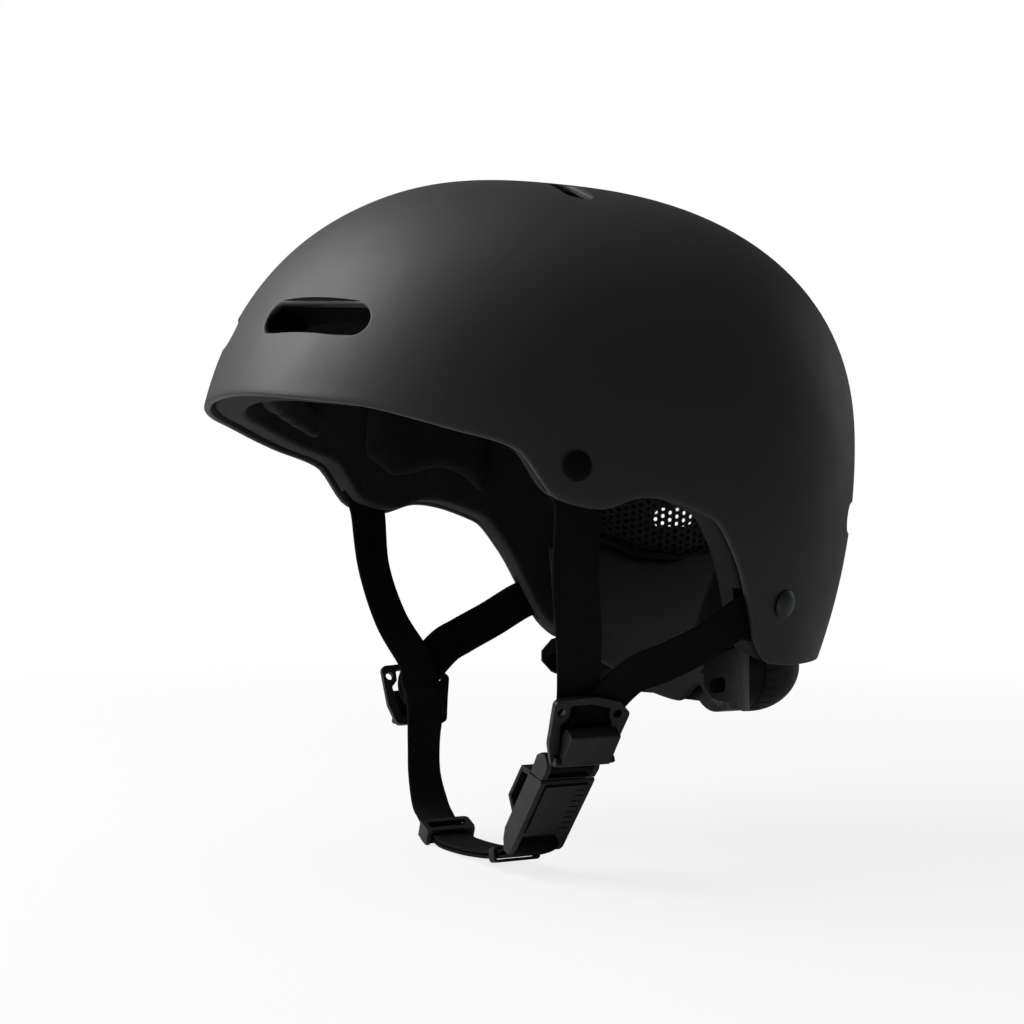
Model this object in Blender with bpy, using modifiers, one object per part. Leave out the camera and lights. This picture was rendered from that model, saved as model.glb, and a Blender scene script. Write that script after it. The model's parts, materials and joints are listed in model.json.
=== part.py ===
"""Water-sports helmet: hard shell, foam liner, pads, webbing harness, magnetic buckle and nape dial.

Frame: +X is the wearer's left, -Y is forwards and +Z is up. The origin is where the top of the
head touches the flat underside of the crown pad. All sizes are in metres.
"""
from math import atan2, cos, degrees, pi, radians, sin, tan

import bmesh
import bpy
from mathutils import Matrix, Vector

GAP = 0.0004

# Shell form: how far it reaches from the crown axis, the height where it is widest, its roundness
CROWN = 0.028
FRONT = (0.1437, -0.1334, 2.64)
SIDE = (0.1135, -0.0815, 2.15)
BACK = (0.1453, -0.0873, 2.28)
DOME_POWER = 2.3
UNDERCUT, UNDERCUT_DEPTH = 0.048, 0.060
PLAN_POWER_FRONT, PLAN_POWER_BACK = 2.43, 2.54
SHELL_WALL = 0.003
LINER_INSET = SHELL_WALL + 0.0009
LINER_WALL = 0.0135
LINER_RECESS = 0.0015
PAD_INSET = LINER_INSET + LINER_WALL + 0.0015

# Shell edge round one half, as degrees from the front and height: brim, step at the temple,
# strap lobe, ear cut-out, nape and the notch over the dial
EDGE = [
    (0, -0.0678), (33, -0.0743), (52, -0.0852), (62, -0.0920), (69.5, -0.1106), (78, -0.1142),
    (88, -0.1096), (104, -0.1179), (110, -0.1320), (121, -0.1702), (126, -0.1768), (137, -0.1784),
    (158, -0.1784), (163, -0.1750), (169, -0.1600), (173, -0.1580), (180, -0.1580),
]
MERIDIANS = [
    0, 8, 16, 24, 32, 40, 48, 56, 62, 65.5, 69.5, 74, 78, 83, 88, 94, 99, 104, 107, 110, 114, 118,
    121, 126, 132, 138, 145, 152, 158, 161, 164, 167, 169.5, 174, 180,
]
RINGS = 10

# Vents: degrees from the front, height, length, width and tilt
FRONT_SLOT = (23, -0.0391, 0.0585, 0.0128, -5.5)
TOP_VENT = (85.5, 0.0190, 0.011, 0.029, 0)
REAR_VENT = (151, -0.1165, 0.028, 0.011, 0)

# Soft parts
PAD_WALL = 0.008
CROWN_PAD_RADIUS = 0.033
MESH_PAD_INSET, MESH_PAD_WALL = PAD_INSET + 0.0025, 0.0035
MESH_PAD_TOP = -0.0850
MESH_PAD_EDGE = [(132, -0.1215), (138, -0.1244), (149, -0.1319), (159, -0.1332), (168, -0.1280),
                 (180, -0.1260)]
BINDING_RADIUS = 0.0014
NAPE_PAD_EDGE = [(0, -0.1934), (15, -0.2024), (28, -0.1998), (50, -0.1870), (72, -0.1720)]
NAPE_PAD_TOP = [(0, -0.1308), (16, -0.1330), (27, -0.1378), (40, -0.1366), (53, -0.1310),
                (62, -0.1300), (72, -0.1300)]
NAPE_PAD_BEND, NAPE_PAD_FLARE_TOP = -0.1670, -0.1290
NAPE_PAD_RADIUS, NAPE_PAD_FLARE, NAPE_PAD_WALL = 0.0672, 0.0165, 0.004

# Webbing harness
WEB, WEB_WALL = 0.0185, 0.0014
WEB_INSET = SHELL_WALL + 0.0009 + WEB_WALL / 2
FRONT_RIVET = (73, -0.0979)
REAR_RIVET = (125, -0.1518)
RIVET_RADIUS, SHANK_RADIUS = 0.0058, 0.0026
WASHER_RADIUS, WASHER_WALL = 0.0060, 0.0010
HARNESS_Y = -0.0147

# Side straps: where each lies inside the shell, as degrees from the front and height, and the
# points and outward faces of the left one beyond the shell's edge
FRONT_STRAP_START = [(73.5, -0.0880), (73, -0.0979), (73.4, -0.1070), (74.2, -0.1150)]
REAR_STRAP_START = [(131, -0.1483), (125, -0.1518), (119.5, -0.1556), (115, -0.1590)]
FRONT_STRAP_PATH = [(0.1020, -0.0295, -0.1400), (0.0942, -0.0237, -0.1650)]
FRONT_STRAP_FACES = [(0.95, -0.22, -0.20), (0.94, -0.14, -0.28)]
REAR_STRAP_PATH = [(0.0978, 0.0316, -0.1662), (0.0952, 0.0145, -0.1737), (0.0905, 0.0015, -0.1795)]
REAR_STRAP_FACES = [(0.94, 0.14, -0.32), (0.93, 0.12, -0.34), (0.92, 0.06, -0.38)]
STRAP_SPREAD = 0.0045

# Strap dividers, with a lever on a pin that locks the straps
DIVIDER_CENTRE = (0.0840, HARNESS_Y, -0.2005)
DIVIDER_UP = (0.385, 0, 0.923)
DIVIDER_OUTLINE = [(-0.0128, -0.0150), (0.0126, -0.0150), (0.0152, -0.0030), (0.0178, 0.0075),
                   (0.0122, 0.0126), (0.0010, 0.0152), (-0.0168, 0.0141), (-0.0160, -0.0050)]
DIVIDER_WINDOW = [(-0.0102, -0.0114), (0.0092, -0.0114), (0.0102, 0.0040), (0.0086, 0.0062),
                  (0.0082, 0.0100), (0.0000, 0.0122), (-0.0096, 0.0118), (-0.0098, 0.0066),
                  (-0.0127, 0.0035)]
DIVIDER_HOLES = [(-0.0132, 0.0090), (0.0120, 0.0074)]
DIVIDER_FRONT, DIVIDER_BACK = 0.0006, -0.0018
LEVER_WIDTH, LEVER_END, LEVER_SLOPE = 0.0218, 0.0018, 15
PIN_Y, PIN_Z, PIN_RADIUS, EAR_WALL = -0.0117, 0.0028, 0.0008, 0.0018
LAYER = WEB_WALL + 0.0006
REAR_STRAP_Z = DIVIDER_BACK - GAP - WEB_WALL / 2
FRONT_STRAP_Z = REAR_STRAP_Z - LAYER
CHIN_STRAP_Z = FRONT_STRAP_Z - LAYER

# Buckle, on the left side: its own frame has X rearwards, Y up the buckle and Z out of its face
BUCKLE_ORIGIN = (0.0691, HARNESS_Y, -0.2225)
BUCKLE_UP = (0.656, 0, 0.755)
BUCKLE_WIDTH = 0.0244
BAR_RADIUS = 0.0016
BAR_WRAP = BAR_RADIUS + 2 * GAP + WEB_WALL / 2
UPPER_BAR_Y, UPPER_BAR_Z = 0.0062, -0.0050
LOWER_BAR_Y, LOWER_BAR_Z = -0.0427, -0.0042
TONGUE_Z, MAGNET_Y = -0.0042, -0.0160

# Chin strap: its bend on the right is an arc about this point, then it runs on to the buckle
CHIN_X, CHIN_Z, CHIN_BEND = -0.0290, -0.2072, 0.058
CHIN_RUN = [(-0.0152, -0.2641), (0.0030, -0.2624), (0.0121, -0.2612)]
SLIDER_TURN = 20.5
KEEPER_X, KEEPER_Z, KEEPER_SLOPE = 0.0215, -0.2596, 11

# Nape cradle and dial: the bands lie on a circle about a vertical axis
NAPE_Y = 0.028
BAND_RADIUS, BAND_WALL, BAND_HEIGHT = 0.0723, 0.0018, 0.0075
BAND_OVERLAP, BAND_REACH = 17, 66
DIAL_Z = -0.1854
DIAL_SEAM = 0.1135
KNOB_RADIUS, KNOB_RIM, KNOB_DEPTH = 0.0215, 0.0045, 0.030
BEZEL_RADIUS = 0.0210
HOUSING_HALF_ANGLE, HOUSING_HEIGHT, HOUSING_BACK = 21, 0.033, 0.0765
ARM_INNER, ARM_OUTER = 0.0731, 0.0753
ARM_TOP = [(0, -0.1697), (35, -0.1697), (60, -0.1720), (72, -0.1755), (75.5, -0.1810)]
ARM_FOOT = [(0, -0.2010), (35, -0.2005), (56, -0.1982), (60, -0.1948), (67, -0.1935), (72, -0.1912),
            (75.5, -0.1860)]
MOUTH = (68.5, -0.1865, 0.0115, 0.0062)
POCKET_HEIGHT = 0.0255
PINION_TEETH, PINION_RADIUS, PRESSURE_ANGLE = 8, 0.0030, 22
TOOTH_PITCH = 2 * pi * PINION_RADIUS / PINION_TEETH
TOOTH_SHARE = 0.19
TOOTH_RISE, TOOTH_ROOT = 0.0006, 0.0010
SHAFT_RADIUS, SPRING_RADIUS = 0.0018, 0.0142
SCREW_RADIUS, SCREW_DROP = 0.0009, 0.0019
RACK_TEETH = 12

BLACK_SHELL = ((0.018, 0.018, 0.020), 0.55, 0.0)
BLACK_FOAM = ((0.012, 0.012, 0.013), 0.90, 0.0)
BLACK_FABRIC = ((0.010, 0.010, 0.011), 0.95, 0.0)
BLACK_WEBBING = ((0.008, 0.008, 0.009), 0.85, 0.0)
BLACK_PLASTIC = ((0.014, 0.014, 0.015), 0.45, 0.0)
BLACK_RUBBER = ((0.012, 0.013, 0.013), 0.75, 0.0)
DARK_METAL = ((0.030, 0.032, 0.031), 0.40, 0.6)
STEEL = ((0.45, 0.45, 0.46), 0.35, 1.0)

LEFT, RIGHT = 1, -1


def clear_scene():
    for obj in list(bpy.data.objects):
        bpy.data.objects.remove(obj, do_unlink=True)


def collection(name, hidden=False):
    made = bpy.data.collections.new(name)
    bpy.context.scene.collection.children.link(made)
    made.hide_render = hidden
    return made


clear_scene()
HELMET = collection("water_helmet")
CUTTERS = collection("cutters", hidden=True)


# ---------------------------------------------------------------- objects and modifiers


def part(name, mesh, finish, at=Matrix()):
    """One named piece of the helmet with its own material."""
    colour, roughness, metallic = finish
    material = bpy.data.materials.new(name + "_material")
    material.use_nodes = True
    shader = material.node_tree.nodes["Principled BSDF"]
    shader.inputs["Base Color"].default_value = (*colour, 1)
    shader.inputs["Roughness"].default_value = roughness
    shader.inputs["Metallic"].default_value = metallic
    mesh.materials.append(material)
    obj = bpy.data.objects.new(name, mesh)
    HELMET.objects.link(obj)
    obj.matrix_world = at
    return obj


def helper(name, mesh, both_sides=False):
    """A cutter, or a shape to join, which isn't a piece itself."""
    obj = bpy.data.objects.new(name, mesh)
    CUTTERS.objects.link(obj)
    obj.hide_render = True
    obj.display_type = "WIRE"
    if both_sides:
        obj.modifiers.new("other_side", "MIRROR").use_mirror_merge = False
    return obj


def combine(obj, other, operation):
    change = obj.modifiers.new(other.name, "BOOLEAN")
    change.operation = operation
    change.object = other
    return obj


def cut(obj, other):
    return combine(obj, other, "DIFFERENCE")


def join(obj, other):
    return combine(obj, other, "UNION")


def thicken(obj, wall, offset=-1.0):
    change = obj.modifiers.new("wall", "SOLIDIFY")
    change.thickness = wall
    change.offset = offset
    change.use_even_offset = True
    return obj


def mirror(obj):
    obj.modifiers.new("mirror", "MIRROR").merge_threshold = 0.00001
    return obj


def soften(obj, width, segments=2):
    change = obj.modifiers.new("soft_edges", "BEVEL")
    change.width = width
    change.segments = segments
    change.limit_method = "ANGLE"
    change.angle_limit = radians(40)
    return obj


def round_off(obj):
    obj.data.shade_smooth()
    obj.data.set_sharp_from_angle(angle=radians(35))
    return obj


def placed(obj, at):
    obj.matrix_world = at
    return obj


def turn_about(obj, place):
    """Put a piece's origin on its joint's axis, at a place in its own frame, and leave it there."""
    shift = Matrix.Translation(place)
    obj.data.transform(shift.inverted())
    obj.matrix_world = obj.matrix_world @ shift
    return obj


# ---------------------------------------------------------------- meshes


def mesh_of(name, shape):
    mesh = bpy.data.meshes.new(name)
    shape.to_mesh(mesh)
    shape.free()
    return mesh


def box(size, centre=(0, 0, 0)):
    shape = bmesh.new()
    bmesh.ops.create_cube(shape, size=1)
    bmesh.ops.scale(shape, vec=size, verts=shape.verts)
    bmesh.ops.translate(shape, vec=centre, verts=shape.verts)
    return mesh_of("box", shape)


def rod(radius, low, high, sides=20):
    """A cylinder along local Z between two heights."""
    shape = bmesh.new()
    middle = Matrix.Translation((0, 0, (low + high) / 2))
    bmesh.ops.create_cone(shape, cap_ends=True, segments=sides, radius1=radius, radius2=radius,
                          depth=high - low, matrix=middle)
    return mesh_of("rod", shape)


def plate(outlines, low, high):
    """A flat outline, with its holes, filled between two heights."""
    curve = bpy.data.curves.new("outline", "CURVE")
    curve.dimensions = "2D"
    curve.fill_mode = "BOTH"
    curve.extrude = (high - low) / 2
    for outline in outlines:
        spline = curve.splines.new("POLY")
        spline.points.add(len(outline) - 1)
        spline.use_cyclic_u = True
        for point, (x, y) in zip(spline.points, outline):
            point.co = (x, y, 0, 1)
    guide = bpy.data.objects.new("guide", curve)
    HELMET.objects.link(guide)
    graph = bpy.context.evaluated_depsgraph_get()
    mesh = bpy.data.meshes.new_from_object(guide.evaluated_get(graph))
    bpy.data.objects.remove(guide, do_unlink=True)
    shape = bmesh.new()
    shape.from_mesh(mesh)
    bmesh.ops.remove_doubles(shape, verts=shape.verts, dist=0.000001)
    bmesh.ops.recalc_face_normals(shape, faces=shape.faces)
    bmesh.ops.translate(shape, vec=(0, 0, (low + high) / 2), verts=shape.verts)
    shape.to_mesh(mesh)
    shape.free()
    return mesh


def sheet(rows):
    """An open surface through rows of points, each row as long as the next."""
    width = len(rows[0])
    points = [point for row in rows for point in row]
    faces = []
    for i in range(len(rows) - 1):
        for j in range(width - 1):
            corner = i * width + j
            faces.append((corner, corner + 1, corner + width + 1, corner + width))
    mesh = bpy.data.meshes.new("sheet")
    mesh.from_pydata(points, [], faces)
    return mesh


def turned(name, profile, finish, at=Matrix(), steps=24):
    """A profile of (radius, height) points turned about local Z, top to bottom on its outer side."""
    mesh = bpy.data.meshes.new("profile")
    points = [(radius, 0, height) for radius, height in profile]
    edges = [(i, i + 1) for i in range(len(points) - 1)]
    if profile[0][0] > 0:
        edges.append((len(points) - 1, 0))
    mesh.from_pydata(points, edges, [])
    obj = part(name, mesh, finish, at)
    screw = obj.modifiers.new("turn", "SCREW")
    screw.axis = "Z"
    screw.steps = screw.render_steps = steps
    screw.use_merge_vertices = True
    screw.merge_threshold = 0.00001
    return obj


def arc(radius, start, end, steps, centre=(0, 0)):
    """Points along an arc between two angles in degrees."""
    turns = [radians(start + (end - start) * i / steps) for i in range(steps + 1)]
    return [(centre[0] + radius * cos(t), centre[1] + radius * sin(t)) for t in turns]


def rounded(corners, radius, steps=4):
    """A closed outline with its corners rounded."""
    outline = []
    for i, corner in enumerate(corners):
        here = Vector(corner)
        back = (Vector(corners[i - 1]) - here).normalized()
        on = (Vector(corners[(i + 1) % len(corners)]) - here).normalized()
        half = back.angle(on) / 2
        centre = here + (back + on).normalized() * radius / sin(half)
        first = here + back * radius / tan(half) - centre
        last = here + on * radius / tan(half) - centre
        turn = first.angle_signed(last)
        for k in range(steps + 1):
            step = Matrix.Rotation(-turn * k / steps, 2)
            outline.append(tuple(centre + step @ first))
    return outline


def rectangle(width, height, centre=(0, 0)):
    x, y = centre
    w, h = width / 2, height / 2
    return [(x - w, y - h), (x + w, y - h), (x + w, y + h), (x - w, y + h)]


def smooth(values, steps):
    """Values along a Catmull-Rom curve through the given ones."""
    ends = [2 * values[0] - values[1]] + list(values) + [2 * values[-1] - values[-2]]
    curve = []
    for a, b, c, d in zip(ends, ends[1:], ends[2:], ends[3:]):
        for k in range(steps):
            t = k / steps
            curve.append(0.5 * (2 * b + (c - a) * t + (2 * a - 5 * b + 4 * c - d) * t**2
                                + (3 * b - a - 3 * c + d) * t**3))
    return curve + [values[-1]]


def ribbon(name, path, faces, finish, width=WEB, wall=WEB_WALL, steps=4):
    """A flat strap along a path, with the way that it faces at each point of the path."""
    points = smooth([Vector(point) for point in path], steps)
    normals = smooth([Vector(face) for face in faces], steps)
    rows = []
    for i, point in enumerate(points):
        tangent = points[min(i + 1, len(points) - 1)] - points[max(i - 1, 0)]
        across = tangent.cross(normals[i]).normalized() * width / 2
        rows.append([point - across, point + across])
    return thicken(part(name, sheet(rows), finish), wall, 0)


def frame_at(origin, width, up):
    """A frame with local X along the width, Y upwards and Z out of the face."""
    up = Vector(up).normalized()
    width = Vector(width)
    width = (width - width.dot(up) * up).normalized()
    turn = Matrix((width, up, width.cross(up))).transposed().to_4x4()
    return Matrix.Translation(origin) @ turn


# ---------------------------------------------------------------- the shell's form


def reach(height, inset, full, widest, roundness):
    """How far the form stands out towards the front, a side or the back at a height."""
    above = (height - widest) / (CROWN - inset - widest)
    if above > 0:
        return (full - inset) * max(1e-9, 1 - above**DOME_POWER) ** (1 / roundness)
    return full * (1 - UNDERCUT * ((widest - height) / UNDERCUT_DEPTH) ** 2) - inset


def form_point(angle, height, inset=0.0):
    """A point of the shell's outer surface, or inside it, at degrees from the front."""
    forward, aside = cos(radians(angle)), sin(radians(angle))
    along = reach(height, inset, *(FRONT if forward > 0 else BACK))
    across = reach(height, inset, *SIDE)
    power = PLAN_POWER_FRONT if forward > 0 else PLAN_POWER_BACK
    radius = (abs(forward / along) ** power + abs(aside / across) ** power) ** (-1 / power)
    return Vector((radius * aside, -radius * forward, height))


def on_form(angle, height, inset=0.0, side=LEFT, tilt=0):
    """A frame on the form's surface, with local Z outwards and Y upwards, turned by a tilt."""
    step = 0.0005
    point = form_point(angle, height)
    along = form_point(angle + 0.2, height) - form_point(angle - 0.2, height)
    up = form_point(angle, height + step) - form_point(angle, height - step)
    if side == RIGHT:
        point.x, along.x, up.x = -point.x, -along.x, -up.x
        along, tilt = -along, -tilt
    frame = frame_at(point, along, up)
    return frame @ Matrix.Rotation(radians(tilt), 4, "Z") @ Matrix.Translation((0, 0, -inset))


def between(table, angle):
    """The height at an angle in a table, on a smooth curve that doesn't overshoot its points."""
    slopes = [(b[1] - a[1]) / (b[0] - a[0]) for a, b in zip(table, table[1:])]
    bends = [0.0]
    for before, after in zip(slopes, slopes[1:]):
        level = before * after <= 0
        bends.append(0.0 if level else 2 * before * after / (before + after))
    bends.append(0.0)
    i = max(k for k in range(len(slopes)) if k == 0 or table[k][0] <= angle)
    span = table[i + 1][0] - table[i][0]
    t = (angle - table[i][0]) / span
    return (table[i][1] * (1 + 2 * t) * (1 - t) ** 2 + table[i + 1][1] * t**2 * (3 - 2 * t)
            + span * (bends[i] * t * (1 - t) ** 2 - bends[i + 1] * t**2 * (1 - t)))


def dome(inset, recess):
    """The left half of the form from its crown to the shell's edge, open at the middle plane."""
    crown = CROWN - inset
    points, faces = [(0, 0, crown)], []
    for angle in MERIDIANS:
        foot = between(EDGE, angle) + recess
        for ring in range(1, RINGS + 1):
            height = crown - (crown - foot) * (1 - cos(pi / 2 * ring / RINGS))
            point = form_point(angle, height, inset)
            points.append((0 if angle in (0, 180) else point.x, point.y, point.z))
    for j in range(len(MERIDIANS) - 1):
        here, there = 1 + j * RINGS, 1 + (j + 1) * RINGS
        faces.append((0, here, there))
        for i in range(RINGS - 1):
            faces.append((here + i, here + i + 1, there + i + 1, there + i))
    mesh = bpy.data.meshes.new("dome")
    mesh.from_pydata(points, [], faces)
    return mesh


def lining(angles, low, high, inset, rings=4):
    """Rows of points on the form between two heights, each of which may vary with the angle."""
    rows = []
    for angle in angles:
        foot, head = low(abs(angle)), high(abs(angle))
        row = []
        for i in range(rings + 1):
            point = form_point(abs(angle), head + (foot - head) * i / rings, inset)
            row.append((point.x if angle >= 0 else -point.x, point.y, point.z))
        rows.append(row)
    return rows


def span(start, end, steps):
    return [start + (end - start) * i / steps for i in range(steps + 1)]


# ---------------------------------------------------------------- shell, liner and pads


def stadium(length, width):
    if width > length:
        return [(-y, x) for x, y in stadium(width, length)]
    end = (length - width) / 2
    return arc(width / 2, -90, 90, 8, (end, 0)) + arc(width / 2, 90, 270, 8, (-end, 0))


def vent_cutter(name, vent):
    angle, height, length, width, tilt = vent
    mesh = plate([stadium(length, width)], -0.032, 0.008)
    mesh.transform(on_form(angle, height, tilt=tilt))
    return helper(name, mesh, both_sides=True)


def rivet_hole(name, rivet):
    mesh = rod(SHANK_RADIUS + GAP, -0.006, 0.004)
    mesh.transform(on_form(*rivet))
    return helper(name, mesh, both_sides=True)


def strap_pocket(name, start):
    """Room in the liner's outer face for a strap's end, from above its rivet down past the edge."""
    mesh = box((WEB + 0.006, 0.066, 0.0105), (0, -0.015, -0.0045))
    way = on_form(*start[1]).inverted() @ form_point(*start[2])
    mesh.transform(on_form(*start[1], tilt=degrees(atan2(way.x, -way.y))))
    return helper(name, mesh, both_sides=True)


def make_shell_and_liner():
    shell = thicken(mirror(part("outer_shell", dome(0, 0), BLACK_SHELL)), SHELL_WALL)
    liner = part("foam_liner", dome(LINER_INSET, LINER_RECESS), BLACK_FOAM)
    thicken(mirror(liner), LINER_WALL)
    for name, vent in (("front_slots", FRONT_SLOT), ("top_vents", TOP_VENT),
                       ("rear_vents", REAR_VENT)):
        cutter = vent_cutter(name, vent)
        cut(shell, cutter)
        cut(liner, cutter)
    for name, start in (("front", FRONT_STRAP_START), ("rear", REAR_STRAP_START)):
        cut(shell, rivet_hole(name + "_rivet_holes", start[1]))
        cut(liner, strap_pocket(name + "_strap_pockets", start))
    round_off(shell)
    round_off(liner)


def make_pads():
    underside = CROWN - PAD_INSET
    edge = underside - 0.0026
    turned("crown_pad", [(0, underside), (0.017, underside - 0.0006), (CROWN_PAD_RADIUS - 0.002, edge),
                         (CROWN_PAD_RADIUS, edge / 2), (CROWN_PAD_RADIUS - 0.002, 0), (0, 0)],
           BLACK_FABRIC, steps=28)
    brow = lining(span(-52, 52, 13), lambda a: between(EDGE, a) + 0.004,
                  lambda a: between(EDGE, a) + 0.019, PAD_INSET, 2)
    soften(thicken(part("brow_pad", sheet(brow), BLACK_FABRIC), PAD_WALL), 0.0018)
    for side, name in ((LEFT, "left_side_pad"), (RIGHT, "right_side_pad")):
        rows = lining([side * a for a in span(66, 106, 5)], lambda a: between(EDGE, a) + 0.016,
                      lambda a: -0.048, PAD_INSET, 3)
        rows = rows if side == LEFT else rows[::-1]
        soften(thicken(part(name, sheet(rows), BLACK_FABRIC), PAD_WALL), 0.0018)
    make_mesh_pad()
    make_nape_pad()


def make_mesh_pad():
    angles = span(-48, 48, 16)
    rows = []
    for turn in angles:
        angle = 180 - abs(turn)
        row = lining([angle], lambda a: between(MESH_PAD_EDGE, a), lambda a: MESH_PAD_TOP,
                     MESH_PAD_INSET, 4)[0]
        rows.append([(x if turn < 0 else -x, y, z) for x, y, z in row])
    thicken(part("rear_mesh_pad", sheet(rows), BLACK_FABRIC), MESH_PAD_WALL)
    curve = bpy.data.curves.new("mesh_pad_binding", "CURVE")
    curve.dimensions = "3D"
    curve.bevel_depth = BINDING_RADIUS
    curve.bevel_resolution = 1
    curve.use_fill_caps = True
    spline = curve.splines.new("POLY")
    spline.points.add(len(rows) - 1)
    for point, row in zip(spline.points, rows):
        foot = Vector(row[-1])
        inward = Vector((foot.x, foot.y, 0)).normalized() * MESH_PAD_WALL / 2
        foot -= inward + Vector((0, 0, BINDING_RADIUS + 0.0008))
        point.co = (*foot, 1)
    part("mesh_pad_binding", curve, BLACK_FABRIC)


def nape_point(turn, radius, height):
    """A point about the nape's vertical axis, at degrees from straight back towards the left."""
    return Vector((radius * sin(radians(turn)), NAPE_Y + radius * cos(radians(turn)), height))


def make_nape_pad():
    rows = []
    for turn in span(72, -72, 18):
        top, foot = between(NAPE_PAD_TOP, abs(turn)), between(NAPE_PAD_EDGE, abs(turn))
        row = []
        for share in span(0, 1, 6):
            height = top + (foot - top) * share
            rise = max(0.0, (height - NAPE_PAD_BEND) / (NAPE_PAD_FLARE_TOP - NAPE_PAD_BEND))
            row.append(nape_point(turn, NAPE_PAD_RADIUS + NAPE_PAD_FLARE * rise**1.3, height))
        rows.append(row)
    thicken(part("nape_pad", sheet(rows), BLACK_FABRIC), NAPE_PAD_WALL)


# ---------------------------------------------------------------- rivets and straps


def make_rivets():
    for side, side_name in ((LEFT, "left"), (RIGHT, "right")):
        for end, rivet, dome_rise in (("front", FRONT_RIVET, 0.0002), ("rear", REAR_RIVET, 0.0010)):
            at = on_form(*rivet, side=side)
            washer_top = -WEB_INSET - WEB_WALL / 2 - GAP
            tail = washer_top - WASHER_WALL - GAP
            head = 0.0015
            turned(f"{side_name}_{end}_rivet", [
                (0, head + dome_rise), (0.003, head + 0.8 * dome_rise), (RIVET_RADIUS - 0.0006, head),
                (RIVET_RADIUS, head - 0.0006), (RIVET_RADIUS, GAP), (SHANK_RADIUS, GAP),
                (SHANK_RADIUS, tail), (0.0042, tail), (0.0040, tail - 0.0010), (0, tail - 0.0012),
            ], DARK_METAL, at, 20)
            turned(f"{side_name}_{end}_washer", [
                (SHANK_RADIUS + GAP, washer_top), (WASHER_RADIUS, washer_top),
                (WASHER_RADIUS, washer_top - WASHER_WALL),
                (SHANK_RADIUS + GAP, washer_top - WASHER_WALL),
            ], STEEL, at, 20)


def sided(point, side):
    return Vector((point[0] * side, point[1], point[2]))


def side_strap(name, side, start, points, faces):
    """A strap from its rivet inside the shell, out at the edge and on through its own points."""
    frames = [on_form(*place, inset=WEB_INSET, side=side) for place in start]
    path = [at.translation for at in frames] + points
    outwards = [at.to_3x3() @ Vector((0, 0, 1)) for at in frames] + faces
    strap = ribbon(name, path, outwards, BLACK_WEBBING)
    mesh = rod(SHANK_RADIUS + GAP, -0.009, 0.003)
    mesh.transform(on_form(*start[1], side=side))
    cut(strap, helper(name + "_hole", mesh))
    return strap


def behind_divider(side, places):
    """Points behind a divider, as places in its own frame, and how they face."""
    at = divider_frame(side)
    outwards = at.to_3x3() @ Vector((0, 0, 1))
    return [at @ Vector(place) for place in places], [outwards] * len(places)


def make_side_straps():
    for side, name in ((LEFT, "left"), (RIGHT, "right")):
        spread = STRAP_SPREAD if side == LEFT else 0
        ends, faces = behind_divider(side, [(spread, 0.006, REAR_STRAP_Z),
                                            (0.6 * spread, -0.004, REAR_STRAP_Z)])
        side_strap(f"{name}_rear_strap", side, REAR_STRAP_START,
                   [sided(p, side) for p in REAR_STRAP_PATH] + ends,
                   [sided(f, side) for f in REAR_STRAP_FACES] + faces)
        ends, faces = behind_divider(side, [(-spread, 0.015, FRONT_STRAP_Z),
                                            (-0.8 * spread, 0.004, FRONT_STRAP_Z),
                                            (-0.3 * spread, -0.006, FRONT_STRAP_Z)])
        if side == LEFT:
            round_bar, bar_faces = round_upper_bar()
            ends, faces = ends + round_bar, faces + bar_faces
        side_strap(f"{name}_front_strap", side, FRONT_STRAP_START,
                   [sided(p, side) for p in FRONT_STRAP_PATH] + ends,
                   [sided(f, side) for f in FRONT_STRAP_FACES] + faces)


def round_upper_bar():
    """The front strap's way down to the buckle, round its upper bar and back up behind itself."""
    bar = BUCKLE @ Vector((0, UPPER_BAR_Y, UPPER_BAR_Z))
    points, faces = [], []
    for turn in (20, -30, -75, -120, -165, -200):
        out = Vector((cos(radians(turn)), 0, sin(radians(turn))))
        points.append(bar + out * BAR_WRAP)
        faces.append(out)
    back, inwards = behind_divider(LEFT, [(0, -0.008, CHIN_STRAP_Z), (0, -0.001, CHIN_STRAP_Z)])
    return points + back, faces + [-face for face in inwards]


# ---------------------------------------------------------------- dividers


def divider_frame(side):
    return frame_at(sided(DIVIDER_CENTRE, side), (0, side, 0), sided(DIVIDER_UP, side))


def cross_rod(radius, half_length, y, z, sides=12):
    """A cylinder along local X."""
    mesh = rod(radius, -half_length, half_length, sides)
    mesh.transform(Matrix.Translation((0, y, z)) @ Matrix.Rotation(pi / 2, 4, "Y"))
    return mesh


def side_profile(outline, low, high):
    """An outline of (up, out) points in the local YZ plane, filled between two local X values."""
    mesh = plate([outline], low, high)
    mesh.transform(Matrix(((0, 0, 1, 0), (1, 0, 0, 0), (0, 1, 0, 0), (0, 0, 0, 1))))
    return mesh


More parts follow.
